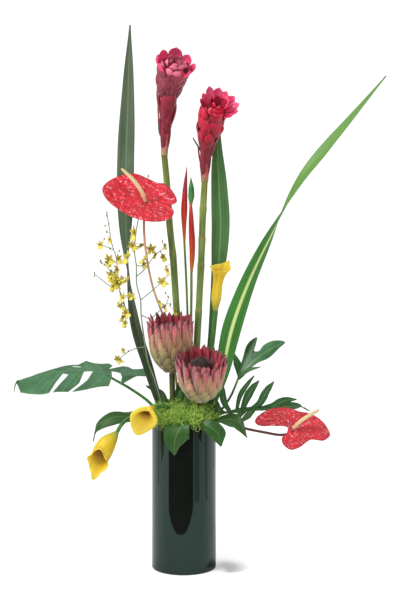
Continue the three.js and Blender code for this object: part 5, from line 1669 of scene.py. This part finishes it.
SPLIT_GREEN = broad_finish("split_leaf_green", (44, 86, 52), (72, 120, 80), (104, 146, 104),
    (90, 128, 84))
SPLIT_OUTLINE = [(-267, -6), (-242, 3), (-220, 17), (-195, 29), (-173, 37), (-163, 55), (-149, 44),
    (-137, 39), (-123, 42), (-117, 35), (-122, 20), (-111, 31), (-101, 42), (-92, 43), (-84, 35),
    (-73, 38), (-62, 44), (-56, 15), (-75, 9), (-100, -20), (-99, 0), (-103, 12), (-117, 14),
    (-114, -4), (-115, -10), (-117, -29), (-149, -38), (-173, -45), (-152, -14), (-146, 9), (-160, 8),
    (-164, -22), (-178, -46), (-202, -48), (-184, -2), (-193, 2), (-201, -24), (-207, -48),
    (-216, -49), (-253, -39)]
SPLIT_HOLE = [(-184, 27), (-168, 25), (-168, 28), (-178, 30)]
SPLIT_VEINS = [[(-116, 2), (-150, 12), (-190, 12), (-230, 0), (-266, -8)],
    [(-130, 8), (-136, 22), (-148, 42)], [(-150, 12), (-160, 30), (-164, 50)],
    [(-176, 13), (-190, 22), (-206, 22)], [(-200, 10), (-222, 12), (-240, 2)],
    [(-126, 6), (-134, -16), (-146, -36)], [(-156, 12), (-166, -4), (-172, -26)],
    [(-168, 12), (-178, -10), (-188, -46)], [(-192, 11), (-204, -8), (-214, -46)],
    [(-214, 6), (-226, -12), (-240, -42)], [(-104, 10), (-96, 26), (-92, 40)],
    [(-96, 8), (-76, 22), (-64, 34)]]


def split_surface(x, y):
    bow = 6 - 0.0009 * (x + 170) ** 2
    wavy = 1.2 * np.sin(x / 11.0 + 0.6) * np.minimum(1, np.abs(y - 6) / 30)
    return np.stack([x, y, 304 + 0.42 * (y - 8) + bow - 0.1 * np.abs(y - 6) + wavy], axis=-1)


settle(joined("split_leaf_whole",
        [
            plate("split_blade", SPLIT_OUTLINE, 2.2, split_surface, 0.8, SPLIT_GREEN, SPLIT_HOLE,
                SPLIT_VEINS, 1.1, -0.5),
            stem("split_stalk",
                [(-38, -2, 222), (-44, -1, 247), (-57, 2, 262), (-85, 2, 282), (-122, -2, 303.5)],
                [(0, 2.7), (1, 1.9)], FRESH, 50),
            stem("split_tip", [(-262, -12, 297), (-266, -15, 290), (-267.4, -15, 279)],
                [(0, 1.4), (1, 0.5)], FRESH, 12, 8)]), "split_leaf")

# %% Philodendrons
PHILODENDRON = broad_finish("philodendron_green", (36, 80, 42), (78, 128, 80), (118, 160, 112),
    (86, 128, 74), 0.34)
LOBE_GREEN = leaf_finish("philodendron_lobe_green", (26, 66, 32), (60, 112, 54), (86, 134, 74), 0.12,
    under=(72, 112, 60), veins=10, gloss=0.34)
UPPER_LOBES = along_outline([(86, 294), (91, 316), (96, 332), (101, 348), (108, 357), (119, 363),
        (117, 352), (114, 341), (121, 341), (130, 351), (148, 358), (165, 355), (155, 346),
        (137, 330), (119, 322), (106, 312), (94, 299)])
UPPER_VEINS = [
    [(88, 297), (98, 320), (108, 340), (116, 358)],
    [(94, 310), (114, 328), (136, 342), (160, 354)]]


def upper_surface(x, z):
    return np.stack([x, 20 + 0.45 * (z - 297) - 0.25 * (x - 87) + 0.004 * (x - 110) ** 2, z], axis=-1)


settle(joined("philodendron_upper_whole",
        [
            plate("philodendron_upper_blade", UPPER_LOBES, 1.8, upper_surface, 0.8, PHILODENDRON,
                None, UPPER_VEINS, 1.0, -0.4),
            stem("philodendron_upper_stalk",
                [(32, 12, 226), (46, 17, 240), (60, 21, 247), (75, 22, 268), (88, 20.5, 299)],
                [(0, 2.4), (1, 1.7)], FRESH, 40),
            blade("upper_low_lobe", [(88, 20, 299), (104, 10, 311), (122, 2, 317)], (0, 1, 0.6),
                [(0, 6), (0.5, 11), (1, 1.5)], LOBE_GREEN, cells=(8, 24)),
            blade("upper_far_lobe", [(89, 21, 302), (86, 36, 322), (80, 50, 338)], (1, 0, 0.2),
                [(0, 6), (0.5, 13), (1, 1.5)], LOBE_GREEN, cells=(8, 24))]), "philodendron_upper")

# half width and path of each finger
LOWER_FINGERS = [
    (4.5, [(84, 10, 245), (90, 13, 270), (101, 16, 287), (113, 18, 302)]),
    (7, [(93, 11, 246), (101, 14, 266), (110, 18, 281), (121, 20, 294)]),
    (7, [(108, 13, 248), (122, 15, 258), (133, 18, 277), (145, 22, 292)]),
    (7, [(124, 15, 249), (144, 18, 253), (161, 22, 261), (182, 24, 263)]),
    (7.5, [(132, 16, 249), (160, 24, 251), (186, 28, 251), (205, 29, 243)]),
    (5.5, [(112, 12, 247), (102, 0, 240), (90, -8, 231)]),
    (4.5, [(98, 10, 246), (88, 2, 240), (77, -6, 233)]),
    (6.5, [(62, 4, 243), (52, 2, 255), (47, 4, 274)]),
    (6, [(74, 7, 244.5), (64, 8, 262), (62, 12, 288)]),
    (5.5, [(58, 3, 242), (50, -8, 246), (44, -18, 252)])]
lower_parts = [
    stem("philodendron_lower_stalk",
        [(30, -2, 229), (46, 0, 238), (62, 4, 243), (80, 9, 245.5), (108, 14, 248.5), (136, 17, 249)],
        [(0, 2.4), (0.4, 2), (1, 1)], FRESH, 50),
    blade("lower_rib", [(66, 5, 243.5), (90, 11, 246), (112, 15, 248), (140, 17, 249)], (0, 1, 0.5),
        [(0, 3), (0.3, 13), (0.8, 12), (1, 5)], LOBE_GREEN, cells=(8, 30))]
for n, (half, path) in enumerate(LOWER_FINGERS):
    width = [(0, 1.1 * half), (0.5, 2 * half), (0.8, 1.4 * half), (1, 1.5)]
    lower_parts.append(blade(f"lower_finger_{n}", path, (1, 0.3, -0.4), width, LOBE_GREEN, fold=0.15,
                             cells=(8, 26)))
settle(joined("philodendron_lower_whole", lower_parts), "philodendron_lower")

# %% [markdown]
# ## Short leaves round the rim
#
# Nine short leathery leaves hide the edge of the vase. They are glossy green above and
# reddish tan underneath, and each is the blade tree on a short path that droops.

# %% Rim leaves
RIM_GREEN = leaf_finish("rim_leaf_green", (22, 58, 18), (60, 104, 40), (82, 122, 60), 0.06,
    under=(134, 96, 66), veins=16, gloss=0.34)
BACK_WIDTH = [(0, 3), (0.22, 3.6), (0.6, 28), (1, 1.6)]
# path, the way across it, and its width along it
RIM_LEAVES = {
    "left": (
        [(-38, -12, 236), (-50, -15, 236), (-64, -18, 238), (-88, -22, 241), (-115, -25, 239),
            (-136, -28, 225), (-142, -28, 203)], (0, 0.75, 0.65),
        [(0, 3), (0.14, 3.4), (0.33, 18), (0.6, 28), (0.82, 22), (1, 1.6)]),
    "left_small": ([(-40, -7.5, 239), (-54, -7, 242), (-75, -6, 246), (-100, -6, 244)], (0, 1, 0.4),
        [(0, 2.4), (0.3, 2.8), (0.65, 13), (1, 1.4)]),
    "front_left": (
        [(10, -30, 236), (8, -46, 237), (2, -59, 235), (-9, -67, 222), (-14, -67, 204),
            (-13, -62, 187)], (1, 0.1, 0.35),
        [(0, 3), (0.3, 6), (0.42, 28), (0.58, 43), (0.76, 30), (1, 1.6)]),
    "front_right": (
        [(20, -30, 236), (24, -46, 236.5), (36, -57, 232), (52, -62, 221), (58, -60, 200)],
        (0.5, 0.1, 0.9),
        [(0, 3), (0.24, 5), (0.5, 24), (0.78, 25), (1, 1.6)]),
    "right": (
        [(34, -24, 236), (47, -33, 236.5), (62, -39, 239), (84, -42, 236), (99, -40, 210)],
        (0, 0.55, 0.8),
        [(0, 3), (0.25, 5), (0.5, 24), (0.75, 25), (1, 1.6)]),
    "back_right": ([(36, 24, 236), (46, 33, 237), (62, 48, 242), (84, 66, 232)], (-0.6, 0.8, 0.1),
        BACK_WIDTH),
    "back": ([(-3, 40, 236), (-3, 52, 237), (1, 72, 243), (6, 96, 230)], (-1, 0, 0), BACK_WIDTH),
    "back_left": ([(-16, 36, 236), (-23, 47, 237), (-37, 68, 243), (-50, 88, 229)], (-0.8, -0.6, 0),
        [(0, 3), (0.22, 3.6), (0.6, 26), (1, 1.6)]),
    "rising": ([(-22, 28, 222), (-26, 30, 250), (-40, 28, 273), (-62, 27, 285)], (0.4, 0.6, 0.7),
        [(0, 3.4), (0.3, 5), (0.65, 17), (1, 1.6)])}
for which, (path, across, width) in RIM_LEAVES.items():
    # the green face looks up and outwards, but the rising leaf shows it to the room
    _, centre, _, _, face = track(path, 40, across)
    upper = face @ UP + np.sum(face * unit(centre * [1, 1, 0]), axis=1)
    across = -np.array(across) * np.sign(upper.mean()) * (-1 if which == "rising" else 1)
    node = "rim_leaf_" + which
    settle(blade(node + "_blade", path, across, width, RIM_GREEN, thick=0.8, fold=0.22,
                 cells=(12, 48), ripple=0.6), node)

# %% [markdown]
# ## Orchid sprays
#
# Each airy spray is a branching grey-green stalk with small dancing flowers: five
# speckled tepals and one broad notched yellow lip. One flower is modelled and a tree
# copies it, turned to its own direction, to the place of each flower.

# %% Orchid finishes and flower
def orchid_finish():
    look, tree = new_finish("orchid_yellow", 0.55, Specular_IOR_Level=0.3,
                                           Subsurface_Weight=0.1, Subsurface_Scale=0.001)
    out_from, lip = value_of(tree, "place", "Y"), value_of(tree, "place", "Z")
    yellow = ramp(tree, noise(tree, 200.0, 2.0), [(0.3, (200, 186, 56)), (0.7, (232, 224, 108))])
    specks = noise(tree, 1400.0, 2.0)
    fading = band(tree, out_from, 0.15, 0.95, 0.9, 0.3)
    marks = times(tree, band(tree, specks, 0.42, 0.56, 0.0, 1.0), fading)
    tepal = mixed(tree, marks, yellow, (122, 84, 36))
    heart = mixed(tree, band(tree, out_from, 0.1, 0.35, 0.8, 0.0), yellow, (150, 80, 30))
    return dressed(look, mixed(tree, lip, tepal, heart), specks, 0.0002, 0.4)


ORCHID_YELLOW = orchid_finish()
SPRAY_GREEN = stem_finish("spray_stalk", (96, 112, 88), (140, 156, 126), (122, 104, 84), grain=500.0)
BUD_BROWN = stem_finish("orchid_bud", (120, 84, 50), (150, 130, 62), (110, 60, 40), grain=800.0)
LIP_HALF = [(0, 0.34), (0.2, 0.22), (0.42, 0.75), (0.7, 1.0), (0.9, 0.85), (1, 0.5)]


def flower_leaf(turn, length, width, start, lift, lip=False, notch=0.0, cells=(4, 5)):
    """Points, faces and places of one tepal, or of the lip, of a flower of unit size."""
    c, s = math.cos(math.radians(turn)), math.sin(math.radians(turn))
    points, places = [], []
    for i in range(cells[1] + 1):
        t = i / cells[1]
        half = width * (level(LIP_HALF, t) if lip else math.sin(math.pi * (0.12 + 0.8 * t)))
        for k in range(cells[0] + 1):
            a = -1 + 2 * k / cells[0]
            x, y = half * a, start + length * t - notch * max(0, 1 - abs(a) * 2.2) * t**3
            z = lift * t * t + 0.12 * (1 - a * a) * (1 if lip else -0.6)
            points.append((x * c + y * s, y * c - x * s, z))
            places.append((a, t, 1.0 if lip else 0.0))
    row = cells[0] + 1
    faces = [(a, a + 1, a + 1 + row, a + row) for i in range(cells[1])
             for a in range(i * row, i * row + cells[0])]
    return points, faces, places


def orchid_flower():
    """One flower of unit size: X across, Y up, Z towards the one who looks at it."""
    points, faces, places = flower_leaf(180, 0.8, 0.52, 0.04, 0.2, lip=True, notch=0.3, cells=(8, 6))
    for turn, length in ((0, 0.56), (68, 0.54), (-68, 0.54), (128, 0.4), (-128, 0.4)):
        more = flower_leaf(turn, 1.15 * length, 0.17, 0.03, 0.16)
        faces += [tuple(len(points) + k for k in face) for face in more[1]]
        points, places = points + more[0], places + more[2]
    flat = new_mesh("orchid_flat", np.array(points) / MM, [], faces, place=places)
    holder = new_piece("orchid_holder", flat)
    wall = holder.modifiers.new("wall", "SOLIDIFY")
    wall.thickness, wall.offset = 0.05, 0.0
    mesh = plain_mesh(holder)
    bpy.data.objects.remove(holder)
    mesh.shade_smooth()
    return mesh


FLOWER = orchid_flower()
print("one orchid flower:", len(FLOWER.polygons), "faces")

# %% Orchid sprays
BUD = bract_mesh("bud", [(0, 0.5), (0.5, 1.0), (1, 0.2)], cup=0.0, curl=0.0, thick=0.9, cells=(4, 6))


def spray(side, main, branches, flowers, buds, seed):
    """A stalk, its branches, a short stalk to each flower and bud, and the flowers."""
    name = f"orchid_spray_{side}_whole"
    chance = np.random.default_rng(seed)
    parts = [stem(name + "_main", main, [(0, 1.3), (0.5, 1.1), (1, 0.65)], SPRAY_GREEN, 120, 8)]
    parts += [stem(f"{name}_branch_{n}", path, [(0, 0.9), (1, 0.55)], SPRAY_GREEN, 24, 7)
              for n, path in enumerate(branches)]
    line = np.vstack([track(path, 60)[1] for path in [main, *branches]])
    for n, (*place, size) in enumerate(flowers + buds):
        place = np.array(place, float)
        near = line[np.argmin(np.linalg.norm(line - place, axis=1))]
        gap = np.linalg.norm(near - place)
        if gap > 1:
            bent = (near + place) / 2 + [0, 0, 0.12 * gap]
            parts.append(stem(f"{name}_pedicel_{n}", [near, bent, place], 0.4, SPRAY_GREEN, 6, 6))
    places = np.array(flowers, float)
    count = len(places)

    def any_of(*limits):
        return [chance.uniform(low, high, count) for low, high in limits]

    sideways, forward, upward = any_of((-1.3, 1.3), (0.5, 1.0), (-0.6, 0.9))
    face = unit(np.column_stack([sideways, -forward, upward]))
    way = unit(np.column_stack([*any_of((-0.9, 0.9), (-0.3, 0.3)), np.ones(count)]))
    way = unit(way - (np.sum(way * face, axis=1))[:, None] * face)
    growth, length = any_of((0.95, 1.3), (0.8, 1.05))
    size = places[:, 3] * growth
    parts.append(bracts(name + "_flowers", FLOWER.copy(), ORCHID_YELLOW, places[:, :3], way, face,
                        size, size * length, size))
    tips = np.array(buds, float)
    upright, forwards = np.tile([0.1, 0.1, 1.0], (len(tips), 1)), np.tile([0, -1.0, 0], (len(tips), 1))
    parts.append(bracts(name + "_buds", BUD.copy(), BUD_BROWN, tips[:, :3] - [0, 0, 1.5], upright,
                        forwards, tips[:, 3] * 2.6, tips[:, 3] * 1.5))
    settle(joined(name, parts), f"orchid_spray_{side}")


spray("right",
    [(-31, -6, 200), (-34, -8, 250), (-47, -9, 300), (-56, -8, 324), (-61, -8, 350), (-68, -5, 400),
        (-69, -4, 424), (-75, -4, 448), (-76, -2, 480), (-79, 3, 499), (-77, 10, 533), (-71, 20, 569),
        (-62, 30, 600), (-59, 34, 625)],
    [
        [(-69, -4, 424), (-49, -9, 440), (-38, -10, 450), (-30, -10, 457), (-25, -10, 468),
            (-28, -10, 476)],
        [(-75, -3, 462), (-66, 4, 470), (-57, 10, 482), (-47, 12, 496), (-32, 9, 509), (-35, 8, 517)],
        [(-76, -2, 480), (-68, -5, 478), (-62, -7, 489)],
        [(-68, -5, 400), (-54, -2, 395), (-43, -4, 403), (-37, -6, 409), (-29, -6, 416),
            (-25, -6, 427)],
        [(-79, 3, 499), (-83, -4, 512), (-79, -7, 531)],
        [(-61, -8, 350), (-77, -12, 347), (-88, -14, 342), (-104, -16, 330)]],
    [(-79, -7, 531, 15), (-82, -4, 511, 10), (-35, -11, 453, 14), (-46, 10, 497, 9),
        (-62, -7, 489, 12), (-31, 7, 511, 8), (-26, -11, 471, 9), (-30, -7, 413, 9),
        (-14, -8, 406, 8), (-105, -16, 331, 9), (-68, 4, 511, 8), (-53, 9, 506, 11), (-34, 6, 493, 8),
        (-63, -6, 482, 11), (-38, -6, 420, 8), (-100, -15, 329, 8), (-96, -15, 345, 6)],
    [(-59, 34, 626, 1.7), (-28, -10, 477, 1.6), (-25, -6, 428, 1.8), (-35, 8, 518, 1.5),
        (-88, -14, 343, 1.5), (-69, 5, 510, 1.9), (-30, 5, 435, 1.6), (-34, 5, 494, 1.9),
        (-18, 5, 480, 1.6), (-22, 5, 416, 1.9), (-45, 5, 402, 1.6)], 11)
spray("left",
    [(-36, 21, 200), (-38, 25, 255), (-46, 37, 280), (-58, 49, 304), (-73, 49, 342), (-87, 41, 391),
        (-99, 27, 419), (-103, 14, 435), (-105, 6, 450), (-106, 1, 469), (-108, -1, 491),
        (-112, -2, 504), (-116, -2, 519), (-119, -2, 540), (-123, -2, 562)],
    [
        [(-106, 5, 445), (-119, 4, 447), (-130, 3, 455), (-143, 2, 466)],
        [(-112, -2, 504), (-122, -4, 508), (-133, -5, 513)],
        [(-106, 1, 469), (-115, -3, 469), (-124, -5, 478), (-133, -6, 485)],
        [(-105, 6, 448), (-98, -2, 450), (-91, -6, 455)],
        [(-104, 9, 440), (-98, -4, 428), (-93, -8, 412), (-92, -9, 388)]],
    [(-119, -5, 489, 13), (-104, -4, 490, 12), (-90, -7, 492, 13), (-106, -3, 473, 11),
        (-116, -4, 464, 12), (-106, -2, 451, 12), (-91, -7, 455, 9), (-97, -6, 428, 13),
        (-101, -8, 414, 12), (-92, -9, 404, 11), (-93, -9, 388, 9), (-133, -5, 512, 8),
        (-118, -3, 520, 8), (-110, -4, 459, 13), (-99, -3, 457, 10), (-112, -2, 446, 9),
        (-84, -8, 430, 11), (-97, -8, 397, 9), (-121, -4, 483, 10)],
    [(-123, -2, 563, 1.6), (-143, 2, 467, 1.5), (-133, -6, 486, 1.7), (-120, -2, 545, 1.6),
        (-123, -2, 558, 1.9), (-126, -2, 542, 1.5), (-123, -2, 532, 1.9), (-127, -2, 521, 1.5),
        (-118, -2, 518, 1.9), (-134, -2, 512, 1.5), (-118, -2, 505, 1.9), (-103, -2, 502, 1.5),
        (-132, -2, 483, 1.9), (-127, -2, 480, 1.5), (-119, -2, 478, 1.9), (-143, -2, 462, 1.5)], 23)

# %% [markdown]
# ## Vase, foam and moss
#
# The vase is a straight glazed cylinder. Glaze is a mirror with a tint, so its finish
# is almost black under a clear greenish reflection, with a few specks and a very slight
# unevenness. The foam inside it can't be seen and keeps its CAD solid, with an open
# speckled finish. The moss is a mound of frizzy strands: a low cap with thousands of
# small curls scattered over it by a tree with a fixed seed.

# %% Vase and foam
def glaze_finish():
    look, tree = new_finish("vase_glaze", 0.05, Specular_IOR_Level=0.5,
                                           Specular_Tint=(0.56, 0.98, 0.86, 1.0))
    colour = ramp(tree, noise(tree, 9.0, 4.0), [(0.3, (20, 22, 19)), (0.7, (25, 29, 25))])
    specks = band(tree, noise(tree, 700.0, 2.0), 0.7, 0.8, 0.0, 0.4)
    feed(tree, "Roughness", times_plus(tree, noise(tree, 40.0, 4.0), 0.05, 0.02))
    return dressed(look, mixed(tree, specks, colour, (40, 56, 48)), noise(tree, 12.0, 2.0), 0.0002,
                   0.25)


RADIUS, TOP, WALL, FLOOR = 51, 229, 3.5, 6
BORE = RADIUS - WALL
# (radius, height) from the middle of the foot, up the outside, over the lip and down inside
VASE_PROFILE = [(0.0, 0.0), (47.6, 0.0), (48.2, 0.5), (49.5, 0.0), (50.3, 0.3), (50.8, 0.8),
    (RADIUS, 1.5), (RADIUS, 2.6), (RADIUS, 60), (RADIUS, 120), (RADIUS, 180), (RADIUS, 226.5),
    (RADIUS, 227.6), (50.8, 228.4), (50.2, 228.9), (49.4, TOP), (48.3, 228.9), (47.7, 228.4),
    (BORE, 227.6), (BORE, 6.8), (46.5, FLOOR), (0.0, FLOOR)]
settle(turned("vase_glazed", VASE_PROFILE, 160, glaze_finish()), "vase")


def foam_finish():
    look, tree = new_finish("foam_green", 0.95, Specular_IOR_Level=0.1)
    pores = cells(tree, 500.0)
    return dressed(look, ramp(tree, pores, [(0.0, (26, 44, 24)), (0.6, (66, 96, 56))]), pores, 0.001)


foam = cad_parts["floral_foam"]
foam.data.materials.clear()
foam.data.materials.append(foam_finish())

# %% Moss
def moss_finish():
    look, tree = new_finish("moss_chartreuse", 0.9, Specular_IOR_Level=0.15, Sheen_Weight=0.3)
    tone = times_plus(tree, value_of(tree, "tint"), 0.6, times(tree, noise(tree, 70.0, 4.0), 0.4))
    colour = ramp(tree, tone, [(0.12, (70, 104, 30)), (0.4, (130, 172, 56)), (0.75, (190, 218, 100))])
    return dressed(look, colour, noise(tree, 900.0), 0.0006, 0.6)


MOSS_GREEN = moss_finish()


def chosen(tree, low, high, seed, kind="FLOAT"):
    """A value of its own for each point, the same every time for one seed."""
    return out(add(tree, "FunctionNodeRandomValue", {"Min": low, "Max": high, "Seed": seed},
                   data_type=kind))


def moss_tree():
    """Scatters curls over a cap, some turned each way, and makes them real."""
    tree, given, result = new_tree("moss", {
        "Curl": ("Object", None), "Density": ("Float", 200000.0), "Length": ("Float", 0.008),
        "Material": ("Material", None)})
    cap = out(given, "Geometry")
    points = add(tree, "GeometryNodeDistributePointsOnFaces",
                 {"Mesh": cap, "Density": out(given, "Density"), "Seed": 4})
    lean = chosen(tree, (-0.9, -0.9, -3.14), (0.9, 0.9, 3.14), 5, "FLOAT_VECTOR")
    leaning = out(add(tree, "FunctionNodeEulerToRotation", {"Euler": lean}))
    turn = out(add(tree, "FunctionNodeRotateRotation",
                   {"Rotation": out(points, "Rotation"), "Rotate By": leaning}, rotation_space="LOCAL"))
    size = times(tree, chosen(tree, 0.55, 1.2, 6), out(given, "Length"))
    tinted = stored(tree, out(points, "Points"), "tint", chosen(tree, 0.0, 1.0, 7))
    shape = geo(tree, "ObjectInfo",
                    {"Object": out(given, "Curl"), "As Instance": True}, name="Geometry")
    copies = geo(tree, "InstanceOnPoints",
                     {"Points": tinted, "Instance": shape, "Rotation": turn, "Scale": size})
    real = geo(tree, "RealizeInstances", {"Geometry": copies})
    # painted shade: the cap under the curls keeps a low tint, so the gaps between strands show darker
    whole = joined_up(tree, stored(tree, cap, "tint", 0.1), real)
    tree.links.new(geo(tree, "SetMaterial",
                           {"Geometry": whole, "Material": out(given, "Material")}), result.inputs[0])
    return tree


CURL = [(0, 0, -100), (250, 50, 250), (100, 300, 550), (-250, 150, 700), (-200, -200, 900),
    (100, -150, 1000)]
curl = stem("moss_curl", CURL, [(0, 45), (0.6, 38), (1, 12)], MOSS_GREEN, 10, 3)
MOSS_PROFILE = [(47.9, 229.8), (51.5, 230.2), (53.2, 236), (52.0, 245), (45, 253), (30, 257),
    (12, 260), (0.0, 260.5), (0.0, 246.8), (47.9, 246.8), (47.9, 229.8)]
cap = turned("moss_cap", MOSS_PROFILE, 64, None)
for vert in cap.data.vertices:
    if vert.co.z > 0.25:
        vert.co.z += 0.0016 * math.sin(vert.co.x * 260 + 1) * math.cos(vert.co.y * 230)
moss = grow("moss_mound", cap.data, moss_tree(), Curl=curl, Density=112000.0, Length=0.0101,
    Material=MOSS_GREEN)
bpy.data.objects.remove(cap)
bpy.data.objects.remove(curl)
settle(moss, "moss")
print("faces in all:", sum(MADE.values()))
